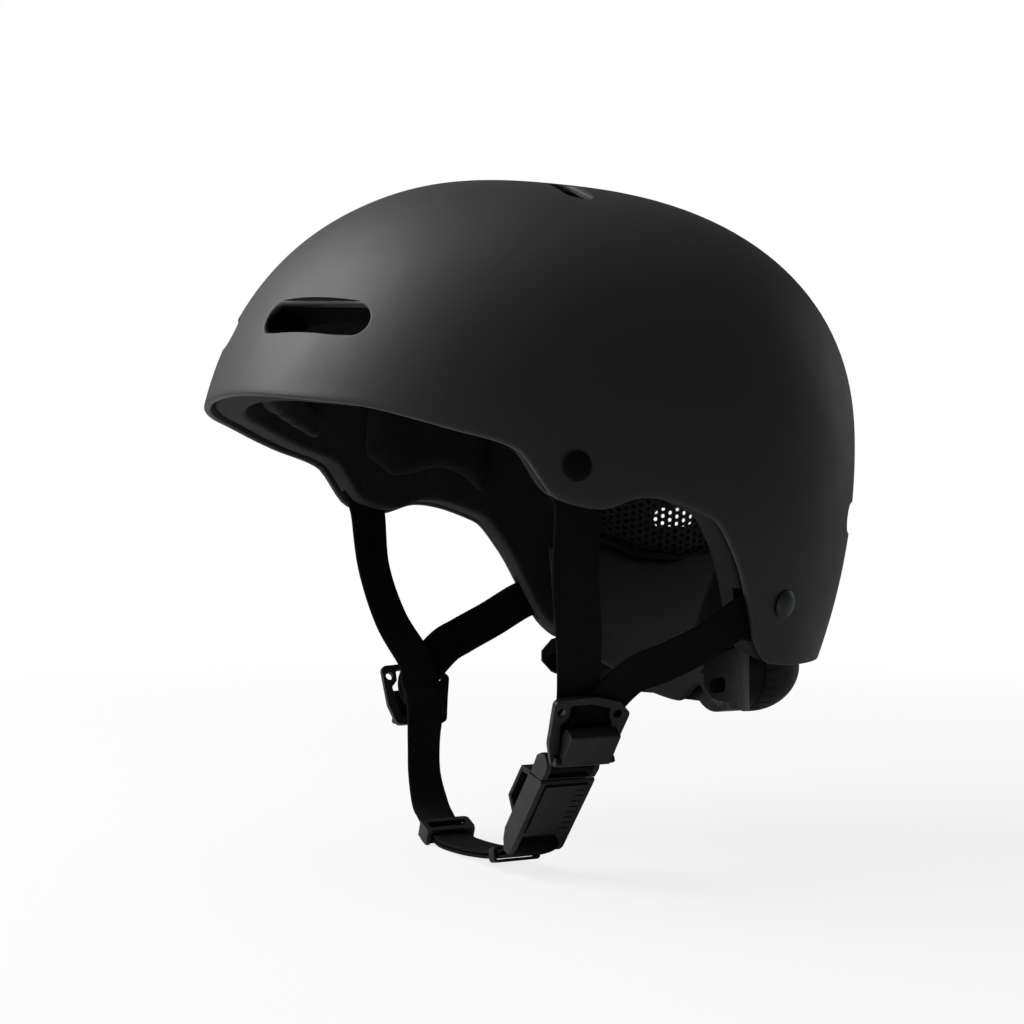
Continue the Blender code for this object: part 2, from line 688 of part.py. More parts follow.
def make_dividers():
    outer = rounded(DIVIDER_OUTLINE, 0.0024)
    window = rounded(DIVIDER_WINDOW, 0.0010, 2)
    holes = [arc(0.0019, 0, 324, 9, centre) for centre in DIVIDER_HOLES]
    ring_plate = plate([outer, window] + holes, DIVIDER_BACK, DIVIDER_FRONT)
    lever = arc(LEVER_END, -90, -270 + LEVER_SLOPE, 6, (PIN_Y, PIN_Z))
    lever += [(0.0012, 0.0080), (0.0019, 0.0077), (0.0030, 0.0028), (0.0022, PIN_Z - LEVER_END)]
    ear = [(PIN_Y - 0.0012, DIVIDER_FRONT - 0.0010), (PIN_Y - 0.0016, PIN_Z),
           (PIN_Y, PIN_Z + 0.0016), (PIN_Y + 0.0016, PIN_Z), (PIN_Y + 0.0020, DIVIDER_FRONT - 0.0010)]
    for side, name in ((LEFT, "left"), (RIGHT, "right")):
        at = divider_frame(side)
        shape = ring_plate.copy()
        if side == RIGHT:
            shape.transform(Matrix.Scale(-1, 4, (1, 0, 0)))
            shape.flip_normals()
        ring = part(f"{name}_strap_divider", shape, BLACK_PLASTIC, at)
        lock = part(f"{name}_divider_lever",
                    side_profile(lever, -LEVER_WIDTH / 2, LEVER_WIDTH / 2), BLACK_PLASTIC, at)
        hole = placed(helper(f"{name}_pin_hole", cross_rod(PIN_RADIUS + GAP / 2, 0.020, PIN_Y,
                                                           PIN_Z)), at)
        inner = LEVER_WIDTH / 2 + GAP
        for end, low, high in (("front", -inner - EAR_WALL, -inner), ("rear", inner, inner + EAR_WALL)):
            join(ring, placed(helper(f"{name}_{end}_pin_ear", side_profile(ear, low, high)), at))
        cut(ring, hole)
        turn_about(cut(lock, hole), (0, PIN_Y, PIN_Z))
        part(f"{name}_lever_pin", cross_rod(PIN_RADIUS, inner + EAR_WALL, PIN_Y, PIN_Z), STEEL, at)


# ---------------------------------------------------------------- magnetic buckle


BUCKLE = frame_at(BUCKLE_ORIGIN, (0, 1, 0), BUCKLE_UP)


def in_buckle(name, mesh, finish):
    return part(name, mesh, finish, BUCKLE)


def buckle_helper(name, mesh):
    return placed(helper(name, mesh), BUCKLE)


def magnet_disc(radius, low, high):
    mesh = rod(radius, low, high, 20)
    mesh.transform(Matrix.Translation((0, MAGNET_Y, 0)))
    return mesh


def make_buckle():
    make_upper_half()
    make_lower_half()
    make_finger_loop()


def make_upper_half():
    """A bar for the webbing between two cheeks, with a tongue that goes into the lower half."""
    half_width = BUCKLE_WIDTH / 2
    cheek = [(-0.0034, -0.0098), (0.0060, -0.0106), (0.0095, -0.0085), (0.0106, -0.0055),
             (0.0098, -0.0025), (0.0060, -0.0008), (0.0009, -0.0012)]
    half = in_buckle("buckle_upper_half", side_profile(cheek, -half_width, half_width),
                     BLACK_PLASTIC)
    gap = box((WEB + 0.0008, 0.0140, 0.0300), (0, 0.0016 + 0.0070, -0.0050))
    cut(half, buckle_helper("upper_slot", gap))
    join(half, buckle_helper("upper_bar", cross_rod(BAR_RADIUS, half_width - 0.0005, UPPER_BAR_Y,
                                                    UPPER_BAR_Z)))
    join(half, buckle_helper("tongue", box((0.0190, 0.0270, 0.0032), (0, -0.0125, TONGUE_Z))))
    cut(half, buckle_helper("upper_magnet_seat",
                            magnet_disc(0.0052, TONGUE_Z + 0.0004, TONGUE_Z + 0.0030)))
    in_buckle("upper_magnet", magnet_disc(0.0048, TONGUE_Z + 0.0007, TONGUE_Z + 0.0015), STEEL)


def make_lower_half():
    half_width = BUCKLE_WIDTH / 2
    side = [(0.0004, -0.0012), (-0.0046, -0.0104), (-0.0380, -0.0104), (-0.0425, -0.0085),
            (-0.0460, -0.0050), (-0.0445, -0.0015), (-0.0415, -0.0004), (-0.0004, -0.0004)]
    body = in_buckle("buckle_lower_body", side_profile(side, -half_width, half_width),
                     BLACK_PLASTIC)
    inner = WEB + 0.0008
    above = LOWER_BAR_Y + BAR_RADIUS
    below = LOWER_BAR_Y - BAR_RADIUS
    in_front = LOWER_BAR_Z + BAR_RADIUS
    behind = LOWER_BAR_Z - BAR_RADIUS
    for name, size, centre in (
        ("socket", (0.0290, 0.0320, 0.0042), (0.0290 / 2 - 0.0101, -0.0110, TONGUE_Z)),
        ("strap_window", (inner, -0.0325 - above, 0.0300), (0, (above - 0.0325) / 2, -0.0050)),
        ("strap_mouth", (inner, 0.0100, 0.0300), (0, below - 0.0050, -0.0050)),
        ("bar_front", (inner, 0.0100, 0.0100), (0, LOWER_BAR_Y, in_front + 0.0050)),
        ("bar_back", (inner, 0.0100, 0.0200), (0, LOWER_BAR_Y, behind - 0.0100)),
        ("panel_recess", (0.0196, 0.0290, 0.0040), (0, -0.0158, 0.0010)),
    ):
        cut(body, buckle_helper(name, box(size, centre)))
    panel = in_buckle("buckle_front_panel", box((0.0188, 0.0282, 0.0012), (0, -0.0158, -0.0001)),
                      BLACK_PLASTIC)
    for i in range(8):
        groove = box((0.0040, 0.0010, 0.0010), (0.0070, -0.0045 - 0.0033 * i, 0.0007))
        cut(panel, buckle_helper(f"grip_groove_{i + 1}", groove))
    cut(body, buckle_helper("lower_magnet_seat",
                            magnet_disc(0.0052, -0.0088, TONGUE_Z - 0.0010)))
    in_buckle("lower_magnet", magnet_disc(0.0048, -0.0084, TONGUE_Z - 0.0025), STEEL)


def make_finger_loop():
    """A loop that stands on the lower half's inner face, to pull it off sideways."""
    outer = [(-0.0040, 0), (-0.0085, -0.0074), (-0.0270, -0.0076), (-0.0300, 0)]
    inner = [(-0.0278, 0), (-0.0256, -0.0055), (-0.0100, -0.0053), (-0.0070, 0)]
    mesh = side_profile([(y, z - 0.0108) for y, z in outer + inner], -0.0115, 0.0115)
    in_buckle("buckle_finger_loop", mesh, BLACK_RUBBER)


# ---------------------------------------------------------------- chin strap


def chin_arc(turn, lift=0.0):
    """A point of the chin strap on its right-hand bend, at degrees from straight down."""
    out = Vector((-sin(radians(turn)), 0, -cos(radians(turn))))
    return Vector((CHIN_X, HARNESS_Y, CHIN_Z)) + out * (CHIN_BEND - lift), out


def chin_run(lift=0.0):
    """The points and outward faces of the chin strap on its run towards the buckle."""
    places = []
    for x, z in CHIN_RUN:
        out = Vector((0.07, 0, -1)).normalized()
        places.append((Vector((x, HARNESS_Y, z)) - out * lift, out))
    return places


def keeper_layer(lift=0.0):
    """The points of one layer of the loop inside the keeper, and their outward faces."""
    out = Vector((sin(radians(KEEPER_SLOPE)), 0, -cos(radians(KEEPER_SLOPE))))
    along = Vector((cos(radians(KEEPER_SLOPE)), 0, sin(radians(KEEPER_SLOPE))))
    middle = Vector((KEEPER_X, HARNESS_Y, KEEPER_Z))
    return [(middle + along * step - out * lift, out) for step in (-0.0045, 0.0035)]


def through(name, places, width=WEB):
    return ribbon(name, [p for p, _ in places], [f for _, f in places], BLACK_WEBBING, width,
                  steps=3)


def make_chin_strap():
    tops, outwards = behind_divider(RIGHT, [(0, 0.001, CHIN_STRAP_Z), (0, -0.010, CHIN_STRAP_Z)])
    start = list(zip(tops, outwards))
    start += [(Vector((-0.0752, HARNESS_Y, -0.2230)), Vector((-0.97, -0.20, 0.10))),
              (Vector((-0.0745, HARNESS_Y, -0.2370)), Vector((-0.97, -0.20, -0.10)))]
    gap = Vector((GAP, 0, 0))
    run, run_inside = chin_run(), chin_run(LAYER)
    cut_run = run[:-1] + [(run[-1][0] - gap, run[-1][1])]
    through("chin_strap", start + [chin_arc(turn) for turn in (42, 34, 25, 16, 7)] + cut_run)
    cut_inside = run_inside[:-1] + [(run_inside[-1][0] - gap, run_inside[-1][1])]
    through("chin_strap_tail", [chin_arc(turn, LAYER) for turn in (27, 20, 13, 7)] + cut_inside)
    bar = BUCKLE @ Vector((0, LOWER_BAR_Y, LOWER_BAR_Z))
    loop = [run[-1]] + keeper_layer() + [(Vector((0.0320, HARNESS_Y, -0.2572)),
                                          Vector((0.30, 0, -0.95)))]
    for turn in (-75, -35, 5, 50, 95, 130):
        out = Vector((cos(radians(turn)), 0, sin(radians(turn))))
        loop.append((bar + out * BAR_WRAP, out))
    loop += [(point, -out) for point, out in keeper_layer(LAYER)[::-1]]
    loop.append((run_inside[-1][0], -run_inside[-1][1]))
    through("chin_strap_loop", loop, WEB - 0.0004)
    make_slider()
    make_keeper()


def loop_frame(point, out, along):
    """A frame with local Y along the strap and Z out of its outer face."""
    out = out.normalized()
    up = along - along.dot(out) * out
    return frame_at(point, up.cross(out), up)


def make_slider():
    """A slider round both layers: a window plate on the inner side and one bar on the outer."""
    point, out = chin_arc(SLIDER_TURN, LAYER / 2)
    ahead, _ = chin_arc(SLIDER_TURN - 5, LAYER / 2)
    at = loop_frame(point, out, ahead - point)
    outer = rounded(rectangle(WEB + 0.0055, 0.0105), 0.0020)
    frame = plate([outer, rectangle(WEB + 0.0006, 0.0045)], -0.0042, -0.0026)
    slider = part("strap_slider", frame, BLACK_PLASTIC, at)
    side = WEB / 2 + 0.0016
    for name, mesh in (("front", box((0.0020, 0.0095, 0.0070), (-side, 0, 0))),
                       ("rear", box((0.0020, 0.0095, 0.0070), (side, 0, 0))),
                       ("outer", box((WEB + 0.0046, 0.0050, 0.0016), (0, 0, 0.0034)))):
        join(slider, placed(helper(f"slider_{name}_arm", mesh), at))
    turn_about(slider, at.inverted() @ Vector((CHIN_X, HARNESS_Y, CHIN_Z)))


def make_keeper():
    """A flat loop that holds the two layers together beside the buckle."""
    (start, out), (end, _) = keeper_layer(LAYER / 2)
    point = (start + end) / 2
    outline = rounded(rectangle(WEB + 0.0034, 0.0066), 0.0016, 3)
    hole = rounded(rectangle(WEB + 0.0010, 0.0041), 0.0006, 2)
    at = loop_frame(point, out, end - start) @ Matrix.Rotation(pi / 2, 4, "X")
    part("strap_keeper", plate([outline, hole], -0.0025, 0.0025), BLACK_RUBBER, at)


# ---------------------------------------------------------------- nape cradle and dial


def sector(inner, outer, start, end, low, high, steps=14):
    """Part of a ring about the nape's axis, from start to end in degrees from straight back."""
    centre = (0, NAPE_Y)
    outline = arc(outer, 90 - start, 90 - end, steps, centre)
    outline += arc(inner, 90 - end, 90 - start, steps, centre)
    return plate([outline], low, high)


def tooth(root, tip, half_pitch_width):
    """Half widths at a tooth's root and tip for flanks at the pressure angle."""
    slope = tan(radians(PRESSURE_ANGLE))
    return half_pitch_width + root * slope, half_pitch_width - tip * slope


def make_bands():
    half = TOOTH_PITCH * TOOTH_SHARE
    root_half, tip_half = tooth(TOOTH_ROOT, TOOTH_RISE, half)
    pitch_turn = degrees(TOOTH_PITCH / BAND_RADIUS)
    for side, name in ((LEFT, "left"), (RIGHT, "right")):
        near = DIAL_Z + side * (PINION_RADIUS + TOOTH_ROOT)
        far = near + side * BAND_HEIGHT
        low, high = min(near, far), max(near, far)
        ends = (-BAND_OVERLAP * side, BAND_REACH * side)
        band = part(f"{name}_cradle_band",
                    sector(BAND_RADIUS - BAND_WALL, BAND_RADIUS, min(ends), max(ends), low, high, 40),
                    BLACK_PLASTIC)
        for i in range(RACK_TEETH):
            turn = (i - RACK_TEETH // 2 + 0.5) * pitch_turn
            base = near + side * 0.0005
            tip = DIAL_Z + side * (PINION_RADIUS - TOOTH_RISE)
            outline = [(-root_half, base), (root_half, base), (tip_half, tip), (-tip_half, tip)]
            mesh = plate([outline if side == LEFT else outline[::-1]], -BAND_WALL / 2, BAND_WALL / 2)
            mesh.transform(Matrix.Translation((0, NAPE_Y, 0))
                           @ Matrix.Rotation(radians(-turn), 4, "Z")
                           @ Matrix.Translation((0, BAND_RADIUS - BAND_WALL / 2, 0))
                           @ Matrix.Rotation(pi / 2, 4, "X"))
            join(band, helper(f"{name}_rack_tooth_{i + 1}", mesh))
        turn_about(band, (0, NAPE_Y, DIAL_Z))


def facing_back(y):
    """A frame on the dial's axis with local Z backwards and Y up."""
    return frame_at((0, y, DIAL_Z), (-1, 0, 0), (0, 0, 1))


def make_pinion():
    half = TOOTH_PITCH * TOOTH_SHARE
    root_half, tip_half = tooth(TOOTH_ROOT - 0.0002, TOOTH_RISE, half)
    outline = []
    for i in range(PINION_TEETH):
        turn = radians(90 + 360 * i / PINION_TEETH)
        for radius, offset in ((PINION_RADIUS - TOOTH_ROOT + 0.0002, root_half),
                               (PINION_RADIUS + TOOTH_RISE, tip_half),
                               (PINION_RADIUS + TOOTH_RISE, -tip_half),
                               (PINION_RADIUS - TOOTH_ROOT + 0.0002, -root_half)):
            outline.append((radius * cos(turn) + offset * sin(turn),
                            radius * sin(turn) - offset * cos(turn)))
    back = NAPE_Y + BAND_RADIUS + 0.0002
    pinion = part("dial_pinion", plate([outline], -BAND_WALL - 0.0004, 0), STEEL, facing_back(back))
    shaft = rod(SHAFT_RADIUS, -0.0010, DIAL_SEAM + 0.0030 - back, 12)
    join(pinion, placed(helper("pinion_shaft", shaft), facing_back(back)))


def cradle_arms():
    """A skin round the nape that covers the bands, lower at its middle than at its ends."""
    rows = []
    for turn in span(-75.5, 75.5, 40):
        low, high = between(ARM_FOOT, abs(turn)), between(ARM_TOP, abs(turn))
        rows.append([nape_point(turn, ARM_INNER, low), nape_point(turn, ARM_OUTER, low),
                     nape_point(turn, ARM_OUTER, high), nape_point(turn, ARM_INNER, high)])
    shape = bmesh.new()
    rings = [[shape.verts.new(point) for point in row] for row in rows]
    for here, there in zip(rings, rings[1:]):
        for k in range(4):
            shape.faces.new((here[k], here[k - 1], there[k - 1], there[k]))
    shape.faces.new(rings[0])
    shape.faces.new(rings[-1][::-1])
    bmesh.ops.recalc_face_normals(shape, faces=shape.faces)
    return mesh_of("cradle_arms", shape)


def make_housing():
    low, high = DIAL_Z - HOUSING_HEIGHT / 2, DIAL_Z + HOUSING_HEIGHT / 2
    housing_inner = BAND_RADIUS - BAND_WALL - 0.0006
    housing = part("dial_housing", sector(housing_inner, HOUSING_BACK, -HOUSING_HALF_ANGLE,
                                          HOUSING_HALF_ANGLE, low, high), BLACK_PLASTIC)
    join(housing, helper("cradle_arms", cradle_arms()))
    turn, height, length, width = MOUTH
    for side, name in ((LEFT, "left"), (RIGHT, "right")):
        mouth = frame_at(nape_point(side * turn, ARM_OUTER, height),
                         (side * cos(radians(turn)), -sin(radians(turn)), 0), (0, 0, 1))
        cut(housing, placed(helper(f"{name}_mouth", plate([stadium(length, width)], -0.006, 0.006)),
                            mouth))
    front = NAPE_Y + BAND_RADIUS - 0.0010
    at = facing_back(front)
    join(housing, placed(helper("dial_bezel", rod(BEZEL_RADIUS, 0, DIAL_SEAM - GAP - front, 40)), at))
    pocket = sector(BAND_RADIUS - 0.0200, BAND_RADIUS + 0.0005, -40, 40, DIAL_Z - POCKET_HEIGHT / 2,
                    DIAL_Z + POCKET_HEIGHT / 2)
    cut(housing, helper("band_pocket", pocket))
    cut(housing, placed(helper("shaft_bore", rod(SHAFT_RADIUS + GAP, -0.010, 0.020, 16)), at))
    well = rod(SPRING_RADIUS + 0.0008, DIAL_SEAM - 0.0026 - front, 0.030, 32)
    cut(housing, placed(helper("spring_well", well), at))
    cover_inner, cover_outer = housing_inner - 0.0012, housing_inner - GAP / 2
    cover = part("dial_cover", sector(cover_inner, cover_outer, 1 - HOUSING_HALF_ANGLE,
                                      HOUSING_HALF_ANGLE - 1, low, high), BLACK_PLASTIC)
    for number, turn in enumerate((-17, 17)):
        name = f"housing_screw_{number + 1}"
        at = frame_at(nape_point(turn, cover_inner, high - SCREW_DROP),
                      (cos(radians(turn)), -sin(radians(turn)), 0), (0, 0, 1))
        hole = placed(helper(name + "_hole", rod(SCREW_RADIUS + 0.0003, -0.0060, 0.0020, 12)), at)
        cut(cover, hole)
        cut(housing, hole)
        turned(name, [(0, 0.0012), (0.0016, 0.0010), (2 * SCREW_RADIUS, 0.0003),
                      (SCREW_RADIUS, 0.0003), (SCREW_RADIUS, -0.0045), (0, -0.0050)],
               STEEL, at, 12)


def make_dial():
    inner = SPRING_RADIUS - 0.0022
    spring = plate([arc(SPRING_RADIUS, 0, 345, 23), arc(inner, 0, 345, 23)], 0.0, 0.0008)
    part("click_spring", spring, STEEL, facing_back(DIAL_SEAM - 0.0022))
    hub = KNOB_RADIUS - 0.0010
    rise = KNOB_DEPTH - KNOB_RIM
    dome_profile = [(0, KNOB_DEPTH)] + [(KNOB_RADIUS * cos(radians(turn)),
                                         KNOB_RIM + rise * sin(radians(turn)))
                                        for turn in (75, 60, 45, 30, 15, 0)]
    turned("dial_knob", dome_profile + [(KNOB_RADIUS, 0.0012), (hub, 0), (0.0024, 0),
                                        (0.0024, 0.0040), (0, 0.0040)],
           BLACK_RUBBER, facing_back(DIAL_SEAM), 36)


make_shell_and_liner()
make_pads()
make_rivets()
make_side_straps()
make_dividers()
make_buckle()
make_chin_strap()
make_bands()
make_pinion()
make_housing()
make_dial()
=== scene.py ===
"""Looks of the water-sports helmet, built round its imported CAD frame.

Frame: +X is the wearer's left, -Y is forwards and +Z is up. The origin is where the top of the
head touches the crown pad. All sizes are in metres.
"""
import json
from math import atan2, cos, degrees, pi, radians, sin

import bmesh
import bpy
from mathutils import Matrix, Vector
from mathutils.bvhtree import BVHTree

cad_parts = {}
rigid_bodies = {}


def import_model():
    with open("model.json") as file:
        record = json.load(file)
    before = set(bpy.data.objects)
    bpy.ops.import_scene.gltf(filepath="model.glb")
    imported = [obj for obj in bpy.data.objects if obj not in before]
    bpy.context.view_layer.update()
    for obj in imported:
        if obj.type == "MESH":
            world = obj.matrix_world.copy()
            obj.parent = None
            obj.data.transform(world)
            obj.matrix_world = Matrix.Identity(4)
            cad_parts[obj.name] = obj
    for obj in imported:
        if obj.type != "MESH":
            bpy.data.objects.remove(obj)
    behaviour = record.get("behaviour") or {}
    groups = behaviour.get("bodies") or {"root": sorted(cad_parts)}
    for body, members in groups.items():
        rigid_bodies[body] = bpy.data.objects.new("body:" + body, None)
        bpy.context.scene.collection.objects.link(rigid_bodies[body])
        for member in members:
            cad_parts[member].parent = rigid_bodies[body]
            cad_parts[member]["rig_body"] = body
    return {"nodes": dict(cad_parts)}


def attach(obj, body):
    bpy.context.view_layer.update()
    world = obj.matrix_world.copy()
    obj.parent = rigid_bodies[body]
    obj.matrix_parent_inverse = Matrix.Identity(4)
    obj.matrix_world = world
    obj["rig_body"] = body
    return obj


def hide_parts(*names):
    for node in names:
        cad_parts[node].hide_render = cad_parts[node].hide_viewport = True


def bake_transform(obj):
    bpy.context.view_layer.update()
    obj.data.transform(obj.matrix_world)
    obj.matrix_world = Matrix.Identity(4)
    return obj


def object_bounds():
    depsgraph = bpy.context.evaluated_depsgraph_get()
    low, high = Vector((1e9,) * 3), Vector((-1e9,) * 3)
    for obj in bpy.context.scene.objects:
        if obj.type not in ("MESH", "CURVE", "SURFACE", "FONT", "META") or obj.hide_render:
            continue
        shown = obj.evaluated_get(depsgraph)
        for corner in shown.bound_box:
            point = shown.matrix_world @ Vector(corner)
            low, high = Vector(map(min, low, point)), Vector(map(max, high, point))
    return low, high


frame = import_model()
CAD_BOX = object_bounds()

LEFT, RIGHT = 1, -1
SIDES = ((LEFT, "left"), (RIGHT, "right"))

# The webbing's width and thickness
WEB, WEB_WALL = 0.0185, 0.0014

# Shell form: how far it reaches from the crown axis, the height where it is widest, its roundness
CROWN = 0.028
FRONT = (0.1437, -0.1334, 2.64)
SIDE = (0.1135, -0.0815, 2.15)
BACK = (0.1453, -0.0873, 2.28)
DOME_POWER = 2.3
UNDERCUT, UNDERCUT_DEPTH = 0.048, 0.060
PLAN_POWER_FRONT, PLAN_POWER_BACK = 2.43, 2.54
SHELL_WALL = 0.003
LINER_INSET = SHELL_WALL + 0.0009
LINER_WALL = 0.0135
LINER_RECESS = 0.0015
PAD_INSET = LINER_INSET + LINER_WALL + 0.0015
EDGE = [
    (0, -0.0678), (33, -0.0743), (52, -0.0852), (62, -0.0920), (69.5, -0.1106), (78, -0.1142),
    (88, -0.1096), (104, -0.1179), (110, -0.1320), (121, -0.1702), (126, -0.1768), (137, -0.1784),
    (158, -0.1784), (163, -0.1750), (169, -0.1600), (173, -0.1580), (180, -0.1580),
]
MERIDIANS, RINGS = 264, 54
LIP_ROUNDING, FOAM_ROUNDING = 0.0012, 0.0028

# Cuts at each strap's rivet: the shell's hole, and the liner's pocket in the rivet's own frame
RIVET_HOLE_RADIUS = 0.0030
POCKET_SIZE, POCKET_CENTRE = (WEB + 0.006, 0.066, 0.0105), (0, -0.015, -0.0045)

# Vents: degrees from the front, height, length, width and tilt
FRONT_SLOT = (23, -0.0391, 0.0585, 0.0128, -5.5)
TOP_VENT = (85.5, 0.0190, 0.011, 0.029, 0)
REAR_VENT = (151, -0.1165, 0.028, 0.011, 0)
VENT_RADIUS = 0.0014
VENT_DEPTH, VENT_HEADROOM = 0.034, 0.012
LINER_VENT_PLAY, VENT_SHADE_PLAY = 0.0002, 0.0006

# Foam pads, which cloth simulation swells by up to a limit
PAD_VOXEL, PAD_SHRINK, PAD_SWELL, PAD_FRAMES = 0.003, 0.0008, 0.0018, 20

# Rear mesh pad
MESH_PAD_INSET, MESH_PAD_WALL = PAD_INSET + 0.0025, 0.0011
MESH_PAD_TOP = -0.0850
MESH_PAD_EDGE = [(132, -0.1215), (138, -0.1244), (149, -0.1319), (159, -0.1332), (168, -0.1280),
                 (180, -0.1260)]
MESH_PAD_HALF_ANGLE = 48
MESH_COLUMNS, MESH_ROWS, MESH_HOLE = 54, 13, 0.30
PIPING_RADIUS, TOP_PIPING_RADIUS, PIPING_DROP = 0.0014, 0.0010, 0.0022

# Nape pad
NAPE_Y = 0.028
NAPE_PAD_EDGE = [(0, -0.1934), (15, -0.2024), (28, -0.1998), (50, -0.1870), (72, -0.1720)]
NAPE_PAD_TOP = [(0, -0.1308), (16, -0.1330), (27, -0.1378), (40, -0.1366), (53, -0.1310),
                (62, -0.1300), (72, -0.1300)]
NAPE_PAD_BEND, NAPE_PAD_FLARE_TOP = -0.1670, -0.1290
NAPE_PAD_RADIUS, NAPE_PAD_FLARE, NAPE_PAD_WALL = 0.0672, 0.0165, 0.004
NAPE_PAD_HALF_ANGLE, NAPE_PAD_END, NAPE_PAD_CURVE = 72, 2.5, 1.3
NAPE_PAD_COLUMNS, NAPE_PAD_LAYERS, NAPE_PAD_RIM_LAYERS = 96, 40, 3

# Straps: starts as degrees from the front and heights on the shell, then points and faces
STRAP_STEPS = 8
WEB_INSET = SHELL_WALL + 0.0009 + WEB_WALL / 2
LAYER = WEB_WALL + 0.0006
HARNESS_Y = -0.0147
FRONT_STRAP_START = [(73.5, -0.0880), (73, -0.0979), (73.4, -0.1070), (74.2, -0.1150)]
REAR_STRAP_START = [(131, -0.1483), (125, -0.1518), (119.5, -0.1556), (115, -0.1590)]
FRONT_STRAP_PATH = [(0.1020, -0.0295, -0.1400), (0.0942, -0.0237, -0.1650)]
FRONT_STRAP_FACES = [(0.95, -0.22, -0.20), (0.94, -0.14, -0.28)]
REAR_STRAP_PATH = [(0.0978, 0.0316, -0.1662), (0.0952, 0.0145, -0.1737), (0.0905, 0.0015, -0.1795)]
REAR_STRAP_FACES = [(0.94, 0.14, -0.32), (0.93, 0.12, -0.34), (0.92, 0.06, -0.38)]
STRAP_SPREAD = 0.0045

# Dividers and buckle, and the straps' degrees of turn round its two bars
DIVIDER_CENTRE = (0.0840, HARNESS_Y, -0.2005)
DIVIDER_UP = (0.385, 0, 0.923)
DIVIDER_BACK = -0.0018
GAP = 0.0004
REAR_STRAP_Z = DIVIDER_BACK - GAP - WEB_WALL / 2
FRONT_STRAP_Z = REAR_STRAP_Z - LAYER
CHIN_STRAP_Z = FRONT_STRAP_Z - LAYER
BUCKLE_ORIGIN = (0.0691, HARNESS_Y, -0.2225)
BUCKLE_UP = (0.656, 0, 0.755)
BAR_WRAP = 0.0016 + 2 * GAP + WEB_WALL / 2
UPPER_BAR_Y, UPPER_BAR_Z = 0.0062, -0.0050
UPPER_BAR_TURNS = (20, -30, -75, -120, -165, -200)
LOWER_BAR_Y, LOWER_BAR_Z = -0.0427, -0.0042
LOWER_BAR_TURNS = (-75, -35, 5, 50, 95, 130)

# Chin strap
CHIN_DROP = [((-0.0752, HARNESS_Y, -0.2230), (-0.97, -0.20, 0.10)),
             ((-0.0745, HARNESS_Y, -0.2370), (-0.97, -0.20, -0.10))]
CHIN_X, CHIN_Z, CHIN_BEND = -0.0290, -0.2072, 0.058
CHIN_TURNS, CHIN_TAIL_TURNS = (42, 34, 25, 16, 7), (7, 13, 20, 27)
CHIN_RUN = [(-0.0152, -0.2641), (0.0030, -0.2624), (0.0121, -0.2612)]
KEEPER_X, KEEPER_Z, KEEPER_SLOPE = 0.0215, -0.2596, 11
CHIN_RISE, CHIN_RISE_FACE = (0.0320, HARNESS_Y, -0.2572), (0.30, 0, -0.95)

# Dial and the cradle's arms
DIAL_Z, DIAL_SEAM = -0.1854, 0.1135
KNOB_RADIUS, KNOB_RIM, KNOB_DEPTH = 0.0215, 0.0045, 0.030
KNOB_RIBS, KNOB_GROOVE, KNOB_STEPS = 30, 0.0006, 24
ARM_INNER, ARM_MOUTH_TURN, ARM_MOUTH_Z = 0.0731, 68.5, -0.1865
# Length and width of the dark sheet of painted shade behind each arm's mouth
ARM_SHADE_LENGTH, ARM_SHADE_WIDTH = 0.0135, 0.0082

# Camera and studio
CAMERA_AZIMUTH, CAMERA_ELEVATION, CAMERA_DISTANCE = 63.5, -0.55, 0.7465
CAMERA_TARGET = Vector((0, -0.00547, -0.11394))
CAMERA_LENS = 59.9
FILL, FLOOR_GLOW, FLOOR_SIZE = 0.10, 0.80, 3.0
STUDIO_CENTRE = Vector((0, 0, -0.09))

# Lights: name, azimuth, elevation, distance, size and watts
LIGHTS = (("key", -22, 38, 1.4, 1.5, 40), ("rim", 185, 12, 1.3, 0.7, 1.2),
          ("top", 20, 80, 1.4, 1.2, 3.5))


# ---------------------------------------------------------------- materials


